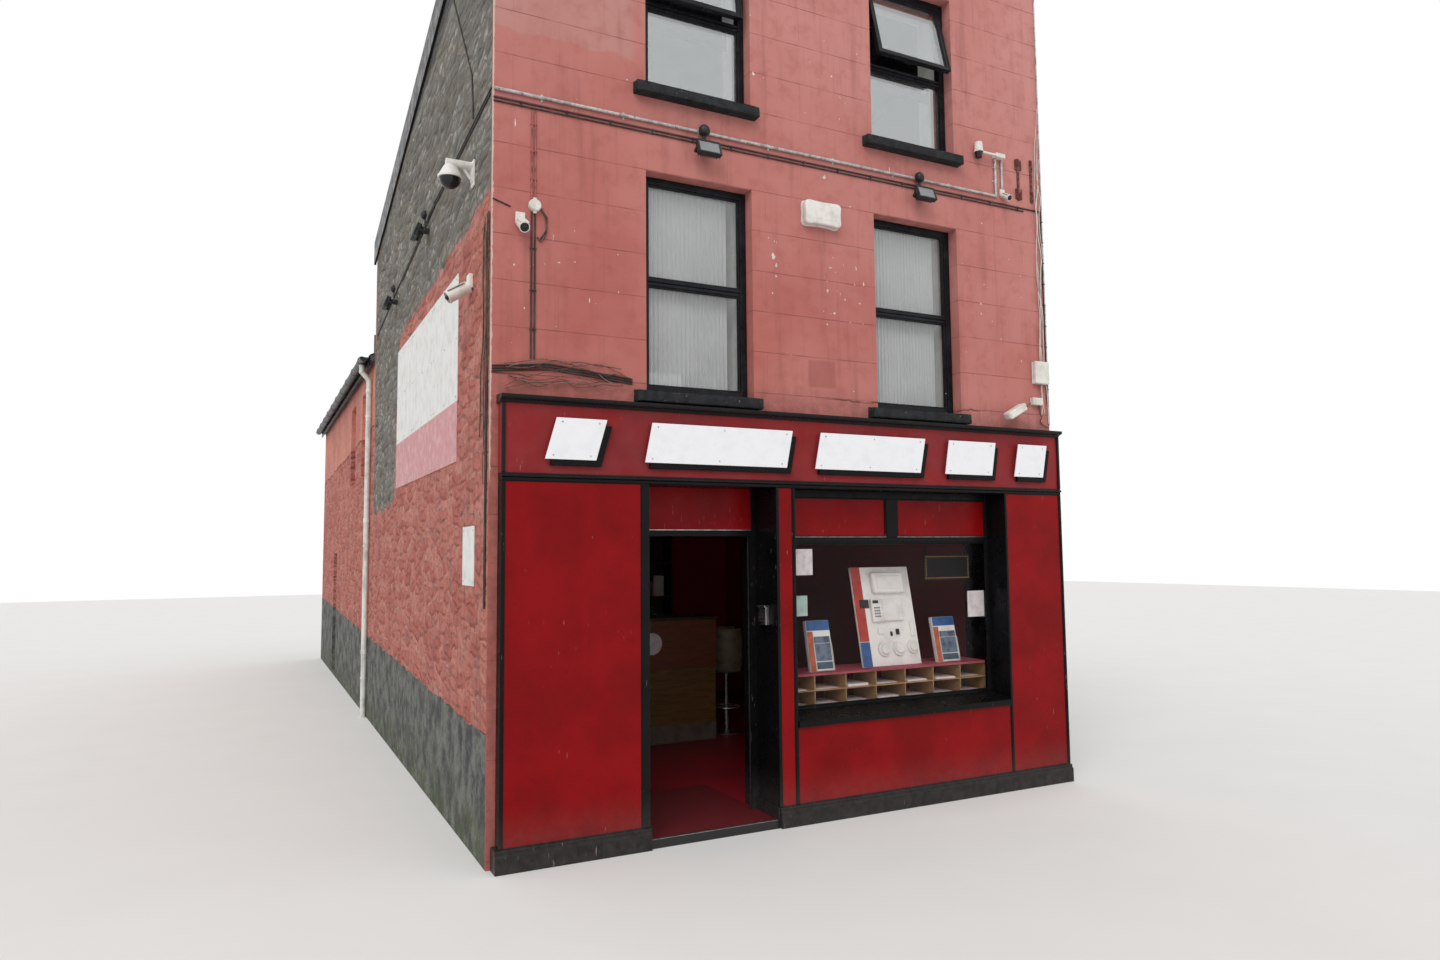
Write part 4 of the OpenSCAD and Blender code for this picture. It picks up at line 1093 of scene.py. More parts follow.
@dataclass(frozen=True)
class CableSheath:
    """Black cable sheath, dusty; the drop from the conduit to the round box is painted with the wall."""

    drop_x: Pair = (0.261, 0.327)
    drop_z: Pair = (4.55, 5.205)

    def build(self) -> Material:
        """Make the material.

        Returns:
            The finished material.
        """
        p = Paint("dark_cable_sheath")
        (x0, x1), (z0, z1) = self.drop_x, self.drop_z
        drop = p.z.rise(z0 - 0.02, z0 + 0.02) * p.x.rise(x0 - 0.001, x0 + 0.001)
        drop = drop * p.x.fall(x1 - 0.001, x1 + 0.001) * p.z.fall(z1 - 0.005, z1 + 0.005)
        tone = p.patches(130, 5, 0.65, 0.42, 0.72).blend("2a2726", "4a4441")
        tone = tone.under((drop, p.patches(50, 4, 0.55, 0.4, 0.7).blend("a55c55", "6f403b")))
        return p.close(tone, 0.5, p.bump(p.noise(1.2, 2), 0.04), 0.3)


# Each finish of the building by a short name, with the name of a material slot
FINISHES = {
    "walls": (CornerWalls(), "salmon_render"),
    "render": (PlainRender(), "salmon_render"),
    "stone": (CutStone(), "cut_stone"),
    "sill": (CutStone("painted_stone_sill", "191a1c", "2a2b2d", "c9c7c0"), "cut_stone"),
    "slate": (RoofSlate(), "slate"),
    "back_slate": (RoofSlate("return_slate", (0.1733, 0.2574)), "slate"),
    "lead": (SheetMetal("lead_sheet", "5f666d", "868c8f", 0.6), "slate"),
    "red": (GlossPaint("red_gloss_paint", "86070d", "740509", bloom="94686a"), "red_gloss"),
    "black": (GlossPaint("black_gloss_paint", "100f11", "0a0a0b", 0.28, 0.14), "black_gloss"),
    "leaf": (GlossPaint("dark_door_paint", "1b1816", "110f0f", 0.34, 0.2), "black_gloss"),
    "upvc": (MouldedPlastic("black_upvc", "101115", "1f2125", 0.3, shine=0.22), "black_upvc"),
    "white_upvc": (MouldedPlastic("white_upvc", "dcdcd6", "b3b1a8", 0.35), "white_plastic"),
    "casing": (MouldedPlastic("white_abs_casing", "dedbd5", "c3bfb5", 0.4), "white_plastic"),
    "rainwater": (Rainwater(), "white_plastic"),
    "dark_plastic": (MouldedPlastic("black_gutter_plastic", "202124", "3a3c3e", 0.4), "white_plastic"),
    "cable": (MouldedPlastic("cable_sheath", "c9c6bd", "98948a", 0.5), "cable_sheath"),
    "dark_cable": (CableSheath(), "cable_sheath"),
    "pale_strand": (WoodBoard("dusty_pale_strand", "91837a", "5f534b", (30, 30, 30), 0.8), "cable_sheath"),
    "old_strand": (WoodBoard("old_brown_strand", "6d5546", "3a2c25", (30, 30, 30), 0.8), "cable_sheath"),
    "conduit": (SheetMetal("galvanised_conduit", "c3bfbd", "8d8886", 0.5, 0.4, 0.35), "pipe_grey"),
    "lamp": (MouldedPlastic("black_lamp_casting", "1a1a1c", "2c2c2e", 0.45), "lamp_black"),
    "lamp_glass": (PaneGlass("lamp_glass", "aab0b2", "7d8284", 0.12, 0.5), "glass"),
    "dark_glass": (MouldedPlastic("dark_lens_dome", "0d0e10", "1b1d20", 0.12), "lamp_black"),
    "board": (MouldedPlastic("white_aluminium_board", "e8e9ec", "e1e2e5", 0.32), "white_board"),
    # Black sheet of the hung sign, and of the boards set lower right of the sign boards as their painted shadow
    "backing": (MouldedPlastic("black_sign_backing", "0b0a0c", "121113", 0.35, shine=0.15), "black_gloss"),
    "plate": (MouldedPlastic("faded_sign_sheet", "dbdbd9", "c9c6c3", 0.5), "white_board"),
    "plate_red": (MouldedPlastic("faded_red_band", "c08487", "cfa0a2", 0.55), "red_gloss"),
    "steel": (SheetMetal("satin_stainless_steel", "b9b9b6", "8d8c89", 0.34), "satin_steel"),
    "rust": (SheetMetal("rusted_bracket_steel", "6d4038", "8c6a62", 0.6, 0.3, 0.9), "satin_steel"),
    "glass": (PaneGlass(), "glass"),
    "sky_glass": (PaneGlass("upper_window_glass", "f9fafa", "a2a5a6", 0.05, 0.03, 0.33), "glass"),
    "net": (NetCurtain(), "net"),
    "oak": (WoodBoard("oak_faced_board", "b8946a", "94704c"), "oak_board"),
    "display_shelf": (DisplayShelf(), "oak_board"),
    "counter": (WoodBoard("orange_brown_counter_board", "7c3c18", "602c12"), "counter_board"),
    "counter_low": (WoodBoard("yellow_brown_counter_board", "7d5a28", "5f4420"), "counter_board"),
    "kick": (MouldedPlastic("worn_kick_board", "6f635c", "564c46", 0.5), "counter_board"),
    "dark_board": (WoodBoard("dark_stained_board", "3a2219", "261510"), "counter_board"),
    "white_laminate": (MouldedPlastic("white_laminate_board", "f3f2ee", "dedcd5", 0.45), "white_board"),
    "vinyl": (VinylFloor(), "red_gloss"),
    "cream": (Upholstery(), "stool_cover"),
    "white_paper": (Paper("white_paper", "ebe3e4", "cfc8c9"), "white_board"),
    "mint_paper": (Paper("mint_card", "b9d2ca", "a3bbb3"), "white_board"),
    "blue_card": (Paper("blue_card", "2f5f9c", "234a7b", 0.4), "white_board"),
    "red_card": (Paper("red_card", "b9382b", "962a20", 0.4), "red_gloss"),
    "orange_card": (Paper("orange_red_card", "c4613c", "a34e2e", 0.4), "white_board"),
    "amber_card": (Paper("amber_card", "e0a040", "b87c2c", 0.5), "white_board"),
    "grey_card": (Paper("grey_card", "6f7f93", "3f4a5c", 0.4), "white_board"),
    "slate_card": (Paper("slate_blue_card", "4d6275", "38495a", 0.45), "white_board"),
    "chip": (Paper("bare_lime_render", "d6cdc3", "a9a097", 0.9), "salmon_render"),
}

# CAD nodes that each finish covers
NODES = {
    "walls": "shop_piers shop_beam front_wall_first front_wall_second gable_wall return_side_wall",
    "render": "party_wall rear_wall return_yard_walls",
    "stone": "parapet_coping",
    "sill": "window_sills",
    "slate": "main_roof",
    "back_slate": "return_roof",
    "black": "roof_edge_boards shop_trim shop_plinth fascia_cornice recess_linings door_frames shop_window_frame "
    "window_ledge",
    "red": "shop_panels fascia_board",
    "leaf": "door_leaf side_door_leaf",
    "upvc": "window_frames opener_sashes window_rails",
    "glass": "shop_glass door_glass",
    "sky_glass": "upper_glass",
    "white_laminate": "upper_floors inner_linings window_display",
    "vinyl": "ground_slab threshold",
    "net": "net_curtains",
    "board": "sign_boards",
    "steel": "door_furniture side_door_furniture",
    "rainwater": "rainwater_pipes",
    "plate": "gable_plates",
    "rust": "front_plates",
    "casing": "cameras wall_boxes",
    "lamp": "floodlights",
    "conduit": "conduits",
    "dark_cable": "wall_cables",
    "counter": "counter",
    "cream": "bar_stool",
    "dark_board": "wall_shelves",
    "display_shelf": "pigeonhole_shelves",
    "oak": "pigeonhole_dividers",
}


@dataclass
class Assembly:
    """Group of pieces on the building that take their finishes from one table."""

    finishes: dict[str, Material]

    def put(
        self, name: str, finish: str, *parts: Piece, node: str = "", slot: str = "", body: str = BODY
    ) -> Piece:
        """Join parts to one finished piece and log it.

        Args:
            name: Name of the piece.
            finish: Short name of its finish.
            parts: Parts to join.
            node: CAD node that it stands for, if any.
            slot: Material slot, where it isn't the finish's own; not used.
            body: CAD body that it rides on.

        Returns:
            The finished piece.
        """
        piece = joined(parts)
        piece.name = piece.data.name = name
        cover(piece, self.finishes[finish])
        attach(piece, body)
        if node:
            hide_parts(node)
        log.info("%s: %d faces", name, len(piece.data.polygons))
        return piece


@dataclass
class Slates(Assembly):
    """Slates, ridge tiles and lead over the two roofs."""

    width: float = 0.25
    gauge: float = 0.2
    thick: float = 0.006
    lift: float = 0.012
    pitch: float = 12.3
    main_top: float = 7.63
    main_y: Pair = (0.6, 6.54)
    main_w: float = 5.2
    back_pitch: float = 30.0
    back_edge: float = 4.66
    back_y: Pair = (6.42, 14.66)
    back_x: Pair = (-0.06, 3.06)
    ridge_tiles: int = 18
    lead_y: Pair = (0.45, 0.62)
    lead_steps: int = 9

    def slate(self, start: float, end: float, gauge: float) -> Piece:
        """One slate, tilted so that its tail lies on the course below.

        Args:
            start: Left side.
            end: Right side.
            gauge: Spacing of the courses.

        Returns:
            The new piece.
        """
        length = gauge * 1.45
        piece = slab((start, 0, 0), (end, length, self.thick), 0.0015, 1)
        return moved(piece, Matrix.Rotation(math.atan2(-self.lift, length), 4, "X"))

    def field(self, across: float, down: float) -> Piece:
        """Field of slates with its eaves along +X at the origin, rising along +Y.

        Args:
            across: Length of the eaves.
            down: Length of the slope.

        Returns:
            The new piece.
        """
        columns, rows = math.floor(across / self.width), math.floor(down / self.gauge)
        width, gauge = across / columns, down / rows
        parts = []
        for odd in (0, 1):
            first = moved(self.slate(0.001, width - 0.001, gauge), at(width / 2 * odd, 0, 0))
            course = [repeated(first, columns - odd, (width, 0, 0))]
            if odd:
                course += [
                    self.slate(x, x + width / 2 - 0.002, gauge)
                    for x in (0.001, across - width / 2 + 0.001)
                ]
            row = moved(joined(course), at(0, gauge * odd, self.lift + 0.001))
            parts.append(repeated(row, (rows + 1 - odd) // 2, (0, 2 * gauge, 0)))
        whole = joined(parts)
        shifts: dict[tuple[int, int], float] = {}
        for vertex in whole.data.vertices:
            cell = (round(vertex.co.x / self.width), round(vertex.co.y / self.gauge))
            vertex.co.z += shifts.setdefault(cell, random.uniform(0, 0.0025)) * 0.6
            vertex.co.y = min(vertex.co.y, down)
        return whole

    def main_slope(self) -> None:
        """Slates of the main roof."""
        lean = math.radians(self.pitch)
        piece = self.field(self.main_w - 0.004, (self.main_y[1] - self.main_y[0]) / math.cos(lean))
        eaves = (self.main_w - 0.002, self.main_y[1], self.main_top - self.main_y[1] * math.tan(lean))
        self.put("main_roof_slates", "slate", moved(piece, at(*eaves, 180) @ at(0, 0, 0, self.pitch, "X")))

    def back_slopes(self) -> None:
        """Slates of the return, one field on each slope."""
        half = (self.back_x[1] - self.back_x[0]) / 2
        down = half / math.cos(math.radians(self.back_pitch))
        for side, gap, turn in ((0, -0.002, -90), (1, 0.002, 90)):
            piece = self.field(self.back_y[1] - self.back_y[0] - 0.004, down)
            corner = at(self.back_x[side], self.back_y[1 - side] + gap, self.back_edge, turn)
            piece = moved(piece, corner @ at(0, 0, 0, self.back_pitch, "X"))
            self.put(f"return_roof_slates_{side}", "back_slate", piece)

    def ridge(self) -> None:
        """Angled clay tiles along the ridge of the return."""
        middle = sum(self.back_x) / 2
        top = self.back_edge + (middle - self.back_x[0]) * math.tan(math.radians(self.back_pitch)) + 0.02
        wing, fall, thick = 0.13, 0.068, 0.014
        outline = [
            (middle - wing, top - fall), (middle, top), (middle + wing, top - fall),
            (middle + wing, top - fall + thick), (middle, top + thick), (middle - wing, top - fall + thick),
        ]
        pitch = (self.back_y[1] - self.back_y[0]) / self.ridge_tiles
        tiles = []
        for start in spaced(self.back_y[0], pitch, self.ridge_tiles):
            tile = bevelled(profile(outline, Axis.Y, start + 0.003, start + pitch - 0.003), 0.004)
            tiles.append(moved(tile, at(0, 0, random.uniform(0, 0.004))))
        self.put("ridge_tiles", "slate", *tiles)

    def flashings(self) -> None:
        """Lead behind the parapet, and stepped lead where the return's slopes meet the main block."""
        y0, y1 = self.lead_y
        top = self.main_top - y0 * math.tan(math.radians(self.pitch))
        front = [
            (y0, top), (y1, top - 0.02), (y1, top - 0.012), (y0 + 0.012, top + 0.018),
            (y0 + 0.012, top + 0.15), (y0, top + 0.15),
        ]
        lead = [bevelled(profile(front, Axis.X, 0.0, self.main_w), 0.002)]
        middle = sum(self.back_x) / 2
        rise = math.tan(math.radians(self.back_pitch))
        reach, steps = middle - self.back_x[0] - 0.06, self.lead_steps
        for side in (-1, 1):
            for index in range(steps):
                a = middle + side * (reach * index / steps)
                b = middle + side * (reach * (index + 1) / steps + 0.02)
                high, low = (
                    self.back_edge + (middle - self.back_x[0] - abs(x - middle)) * rise for x in (a, b)
                )
                far = 6.426 + 0.0015 * (index % 2)
                lead.append(slab((min(a, b), 6.421, low + 0.005), (max(a, b), far, high + 0.15), 0.001))
        self.put("lead_flashings", "lead", *lead)

    def build(self) -> None:
        """Build all parts of the roofs."""
        self.main_slope()
        self.back_slopes()
        self.ridge()
        self.flashings()


REAR = at(4.4, 6.42, 0, 180)
YARD = tuple(at(3.0, y, z, 90) for y, z in ((7.17, 1.06), (10.06, 1.06), (7.17, 3.0), (10.06, 3.0)))


@dataclass
class Stonework(Assembly):
    """Coping stones and window sills of dark cut stone, and the sills at the rear."""

    low: float = 7.85
    thick: float = 0.08
    out: float = 0.04
    depth: float = 0.45
    stones: int = 6
    length: float = 5.2
    sill_x: tuple[Pair, ...] = ((1.051, 2.096), (3.142, 4.187))
    sill_levels: Pair = (3.26, 5.597)
    sill_out: float = 0.087
    sill_back: float = 0.175
    sill_thick: float = 0.095

    def coping(self) -> None:
        """Weathered coping stones with open joints and a fall towards the roof."""
        top = self.low + self.thick
        outline = [
            (-self.out, self.low), (self.depth + self.out, self.low), (self.depth + self.out, top - 0.018),
            (0.05, top), (-self.out, top - 0.006),
        ]
        pitch = (self.length + self.out) / self.stones
        parts = []
        for start in spaced(-self.out, pitch, self.stones):
            stone = bevelled(profile(outline, Axis.X, start + 0.003, start + pitch - 0.003), 0.007)
            parts.append(uneven(stone, 0.12, 0.005, 0.09))
        piece = self.put("coping_stones", "stone", *parts, node="parapet_coping")
        for vertex in piece.data.vertices:
            vertex.co.z = min(vertex.co.z, top)

    def sill(self, start: float, end: float, level: float) -> Piece:
        """Street sill with a worn nose.

        Args:
            start: Left end.
            end: Right end.
            level: Height of its top.

        Returns:
            The new piece.
        """
        out, back, low = -self.sill_out, self.sill_back, level - self.sill_thick
        outline = [(out, low), (back, low), (back, level), (0.09, level), (out + 0.004, level - 0.012)]
        return uneven(bevelled(profile(outline, Axis.X, start, end), 0.008), 0.05, 0.007, 0.035)

    def rear_sill(self, level: float) -> Piece:
        """Plain sill of a rear or yard window, drawn facing the street.

        Args:
            level: Height of its top.

        Returns:
            The new piece.
        """
        low = level - self.sill_thick
        outline = [(-self.sill_out, low), (0, low), (0, level), (-self.sill_out, level - 0.014)]
        return bevelled(profile(outline, Axis.X, 0, 0.9), 0.006)

    def build(self) -> None:
        """Build the stonework."""
        self.coping()
        parts = [self.sill(*x, level) for level in self.sill_levels for x in self.sill_x]
        parts.append(moved(self.rear_sill(3.5), REAR))
        parts += [moved(self.rear_sill(0), place) for place in YARD]
        self.put("window_sill_stones", "sill", *parts, node="window_sills")


@dataclass
class UpperWindows(Assembly):
    """Black plastic window frames with beads, a double middle rail and two hung sashes on stays."""

    face: float = 0.055
    depth: float = 0.07
    street_y: float = 0.105
    lefts: Pair = (1.151, 3.242)
    width: float = 0.905
    # Foot, height and lower light of the windows
    first_floor: Point = (3.26, 1.67, 0.8)
    second_floor: Point = (5.597, 1.47, 0.655)
    rear: Point = (3.5, 1.3, 0.624)
    rear_width: float = 0.9
    yard_heights: tuple[float, ...] = (0.9, 0.9, 1.3, 1.3)
    yard_share: float = 0.48
    sash_top: float = 7.0117
    sash_w: float = 0.787
    sash_h: float = 0.6732
    sash_t: float = 0.045
    sash_face: float = 0.038
    angles: Pair = (8.0, 14.0)

    def bead(self, low: Point, high: Point, near: float) -> list[Piece]:
        """Glazing bead and black gasket round a light, in front of the glass.

        Args:
            low: Lowest corner of the light, at the bead's front.
            high: Highest corner of the light.
            near: Front of the glass.

        Returns:
            The two rings.
        """
        inset, y = 0.011, low[1]
        outer = ring(low, (high[0], near, high[2]), 0.013, 0.004)
        corner = (high[0] - inset, near + 0.003, high[2] - inset)
        return [outer, ring((low[0] + inset, y + 0.004, low[2] + inset), corner, 0.005, 0.001)]

    def frame(self, x: float, w: float, heights: Point, both: bool = True) -> Piece:
        """One window frame, drawn facing the street.

        Args:
            x: Left side.
            w: Width.
            heights: Foot of the frame, its height, and that of the lower light.
            both: Whether the upper light is fixed too.

        Returns:
            The new piece.
        """
        y, (z, h, low) = self.street_y, heights
        rail, half = z + self.face + low, self.face / 2
        left, right, back = x + self.face, x + w - self.face, y + self.depth
        parts = [
            ring((x, y, z), (x + w, back, z + h), self.face, 0.004),
            ring((x + 0.008, y - 0.003, z + 0.008), (x + w - 0.008, y + 0.01, z + h - 0.008), 0.018),
            slab((left, y + 0.004, rail - half), (right, back, rail - 0.003), 0.004),
            slab((left, y + 0.001, rail + 0.003), (right, back, rail + half), 0.004),
            slab((left, y + 0.015, rail - 0.006), (right, back - 0.01, rail + 0.006), 0),
        ]
        parts += self.bead((left, y + 0.01, z + self.face), (right, 0, rail - half), y + 0.024)
        if both:
            parts += self.bead((left, y + 0.01, rail + half), (right, 0, z + h - self.face), y + 0.024)
        return joined(parts)

    def sash(self, x: float, angle: float) -> tuple[Piece, Piece]:
        """Top hung sash with its bead and handle, and its two steel stays.

        Args:
            x: Left side of the window.
            angle: Opening in degrees.

        Returns:
            The sash and its stays.
        """
        w, h, t, face = self.sash_w, self.sash_h, self.sash_t, self.sash_face
        corner = (x + self.face + 0.004, self.street_y, self.sash_top)
        place = at(*corner, -angle, "X")
        parts = [
            ring((0, 0, -h), (w, t, 0), face, 0.004),
            ring((-0.003, -0.005, -h - 0.003), (w + 0.003, 0.002, -0.003), 0.012),
            ring((face, 0.006, -h + face), (w - face, 0.014, -face), 0.011, 0.003),
            slab((w / 2 - 0.015, t - 0.002, -h + 0.008), (w / 2 + 0.015, t + 0.012, -h + 0.03), 0.004),
            slab((w / 2 - 0.09, t + 0.01, -h + 0.012), (w / 2 + 0.012, t + 0.024, -h + 0.026), 0.005),
        ]
        stays = []
        for side in (0.012, w - 0.012):
            foot = Vector(corner) + Vector((side, 0.05, -0.3))
            stays.append(rod(foot, place @ Vector((side, 0.03, -h * 0.62)), 0.004, 8))
            stays.append(rod(foot + Vector((0, 0, 0.12)), foot - Vector((0, 0, 0.14)), 0.005, 8))
        return moved(joined(parts), place), joined(stays)

    def build(self) -> None:
        """Build every window."""
        parts = []
        for x in self.lefts:
            parts.append(self.frame(x, self.width, self.first_floor))
            parts.append(self.frame(x, self.width, self.second_floor, both=False))
        parts.append(moved(self.frame(0, self.rear_width, self.rear), REAR))
        for place, height in zip(YARD, self.yard_heights):
            parts.append(moved(self.frame(0, self.rear_width, (0, height, self.yard_share * height)), place))
        self.put("upvc_window_frames", "upvc", *parts, node="window_frames")
        pairs = [self.sash(x, angle) for x, angle in zip(self.lefts, self.angles)]
        sashes, stays = zip(*pairs)
        self.put("hung_sashes", "upvc", *sashes, node="opener_sashes")
        self.put("sash_stays", "steel", *stays)


@dataclass
class NetCurtains(Assembly):
    """Gathered net curtains behind the first floor windows, each on a wire at the top."""

    spans: tuple[Pair, ...] = ((1.171, 1.93), (3.262, 4.036))
    low: float = 3.285
    top: float = 4.9146
    middle: float = 0.215
    depth: float = 0.011
    fold: float = 0.034
    wire: float = 0.87
    columns: int = 300
    rows: int = 26

    def curtain(self, start: float, end: float, lifted: bool) -> Piece:
        """One curtain; its folds are tight at the top and loosen towards the hem.

        Args:
            start: Left side.
            end: Right side.
            lifted: Whether the lower left corner is caught up a little.

        Returns:
            The new piece.
        """
        bpy.ops.mesh.primitive_grid_add(x_subdivisions=self.columns, y_subdivisions=self.rows, size=1)
        piece = bpy.context.object
        shares = [random.uniform(0.8, 1.2) for _ in range(6)]
        for vertex in piece.data.vertices:
            u, v = vertex.co.x + 0.5, vertex.co.y + 0.5
            x = start + (end - start) * u
            z = self.low + (self.top - self.low) * v
            phase = x / self.fold * 2 * math.pi + 0.9 * math.sin(7 * u * shares[0] + 2.2 * v)
            swell = self.depth * (0.6 + 0.4 * (1 - v))
            wave = math.sin(phase) + 0.35 * math.sin(1.9 * phase + shares[1] * 3 + 2 * v)
            if lifted:
                z += 0.12 * max(0.0, 1 - u / 0.16 - v / 0.1)
            vertex.co = (x, self.middle + swell * wave / 1.35, z)
        only(piece)
        bpy.ops.object.shade_smooth()
        return piece

    def build(self) -> None:
        """Build both curtains and the wires at their tops."""
        wires = []
        for index, (start, end) in enumerate(self.spans):
            piece = self.put(f"net_curtain_{index}", "net", self.curtain(start, end, index == 1))
            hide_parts("net_curtains")
            z = self.top + 0.002
            wires.append(rod((start - 0.005, self.middle, z), (start + self.wire, self.middle, z), 0.004, 8))
        self.put("curtain_wires", "white_upvc", *wires)


@dataclass
class Shopfront(Assembly):
    """Black strips, cornice, mouldings and stepped plinth of the painted timber shopfront."""

    face: float = -0.104
    left: float = 0.06
    right: float = 5.2
    strip: float = 0.025
    strips: tuple[Pair, ...] = (
        (0.06, 0.085), (1.067, 1.128), (2.18, 2.205), (2.328, 2.353), (4.515, 4.54), (5.175, 5.2),
    )
    # Left, right, foot and top of each red panel
    panels: Rows = (
        (0.085, 1.067, 0.15, 2.56), (2.205, 2.328, 0.15, 2.56), (4.54, 5.175, 0.15, 2.56),
        (2.353, 4.515, 0.15, 0.725),
    )
    plinth: float = 0.15
    plinth_runs: tuple[Pair, ...] = ((0.03, 1.128), (2.18, 5.2))
    porch_sides: tuple[Pair, ...] = ((1.128, 1.14), (2.168, 2.18))
    panel_top: float = 2.56
    head: float = 2.585
    top: float = 3.15

    def strip_work(self) -> None:
        """Rounded cover strips, and a small bead round each red panel."""
        parts = [slab((a, self.face, self.plinth), (b, 0, self.panel_top), 0.005) for a, b in self.strips]
        parts.append(slab((self.left, self.face, self.panel_top), (self.right, 0, self.head), 0.005))
        y = self.face + 0.01
        for x0, x1, z0, z1 in self.panels:
            corners = [(x0, y, z0), (x1, y, z0), (x1, y, z1), (x0, y, z1)]
            parts += [rod(a, b, 0.0055, 8) for a, b in zip(corners, corners[1:] + corners[:1])]
        self.put("cover_strips", "black", *parts, node="shop_trim")

    def mouldings(self) -> None:
        """Cornice with its hollow and round, the moulding under the fascia and the end strips."""
        f, top, head = self.face, self.top, self.head
        hollow = (
            (0, 0.06), (0.004, 0.052), (0.012, 0.044), (0.026, 0.038), (0.038, 0.036), (0.041, 0.033),
            (0.041, 0.028), (0.045, 0.027), (0.045, 0.008),
        )
        swell = (
            (0.006, 0), (0.011, 0.004), (0.012, 0.01), (0.009, 0.016), (0.003, 0.018), (-0.002, 0.022),
            (-0.004, 0.03),
        )
        cornice = [(0, top - 0.06), *((f - out, top - down) for out, down in hollow), (0, top)]
        low = [(0, head), *((f - out, head + up) for out, up in swell), (0, head + 0.03)]
        parts = [
            bevelled(profile(cornice, Axis.X, self.left - 0.015, self.right), 0.0012, 1),
            bevelled(profile(low, Axis.X, self.left, self.right), 0.0012, 1),
        ]
        for x in (self.left, self.right - self.strip):
            parts.append(slab((x, f - 0.002, head + 0.03), (x + self.strip, f + 0.016, top - 0.06), 0.004))
        self.put("cornice_mouldings", "black", *parts, node="fascia_cornice")

    def plinths(self) -> None:
        """Plinth boards with a stepped and rounded top, also down the sides of the porch."""
        steps = (
            (0, 0), (0, 0.112), (0.003, 0.118), (0.01, 0.121), (0.012, 0.124), (0.012, 0.14), (0.016, 0.147),
            (0.024, 0.15),
        )
        outline = [(0, 0), *((self.face - 0.03 + back, z) for back, z in steps), (0, 0.15)]
        parts = [bevelled(profile(outline, Axis.X, a, b), 0.002, 1) for a, b in self.plinth_runs]
        for x0, x1 in self.porch_sides:
            parts.append(slab((x0, self.face, 0.06), (x1, 0.235, 0.15), 0.004))
        self.put("plinth_boards", "black", *parts, node="shop_plinth")

    def drips(self) -> None:
        """Pale metal strips under the transom panel and under the two window top panels."""
        parts = [slab((1.168, 0.226, 2.236), (2.14, 0.237, 2.243), 0.001)]
        for x in (2.398, 3.4915):
            parts.append(slab((x, 0.104, 2.18), (x + 0.9785, 0.118, 2.187), 0.001))
        self.put("drip_strips", "steel", *parts)

    def build(self) -> None:
        """Build the shopfront."""
        self.strip_work()
        self.mouldings()
        self.plinths()
        self.drips()


@dataclass
class SignBoards(Assembly):
    """Bare white leaning boards on the fascia, each over a black board set lower and to the right as painted
    shadow of the board.
    """

    # Left side and width of each board as shares of the front
    shares: tuple[Pair, ...] = (
        (0.0673, 0.0779), (0.2088, 0.2346), (0.4862, 0.2077), (0.7377, 0.1077), (0.8883, 0.0731),
    )
    front: float = 5.2
    low: float = 2.712
    high: float = 3.002
    leans: tuple[float, ...] = (0.082, 0.058, 0.058, 0.05, 0.058)
    drawn_lean: float = 0.038
    face_y: Pair = (-0.13, -0.12)
    wall_y: float = -0.09
    # Shift of the black boards to the right and down: they paint each face's shadow
    back_shift: float = 0.041

    def board(self, x: float, w: float, lean: float, depths: Pair, shift: float) -> Piece:
        """Leaning board.

        Args:
            x: Lower left corner.
            w: Width.
            lean: How far its top is over to the right.
            depths: Its front and back.
            shift: How far it is moved to the right and down.

        Returns:
            The new piece.
        """
        outline = [(x, self.low), (x + w, self.low), (x + w + lean, self.high), (x + lean, self.high)]
        return bevelled(profile([(u + shift, v - shift) for u, v in outline], Axis.Y, *depths), 0.002)

    def build(self) -> None:
        """Build faces, the black boards of painted shadow behind them, and screws."""
        faces, shadow_boards, screws = [], [], []
        for (share, width), lean in zip(self.shares, self.leans):
            x, w = share * self.front, width * self.front - self.drawn_lean
            faces.append(self.board(x, w, lean, self.face_y, 0))
            shadow_boards.append(self.board(x, w, lean, (self.face_y[1], self.wall_y), self.back_shift))
            columns = 3 if w > 0.9 else 2
            for index in range(columns):
                for level in (0.1, 0.9):
                    along = x + level * lean + 0.05 + (w - 0.1) * index / (columns - 1)
                    z = self.low + level * (self.high - self.low)
                    screws.append(rod((along, -0.1318, z), (along, -0.129, z), 0.006, 10, 0.0055))
        self.put("sign_board_faces", "board", *faces, node="sign_boards")
        # Black boards set lower right of the faces: painted shadow
        self.put("sign_board_backs", "backing", *shadow_boards)
        self.put("sign_board_screws", "steel", *screws)


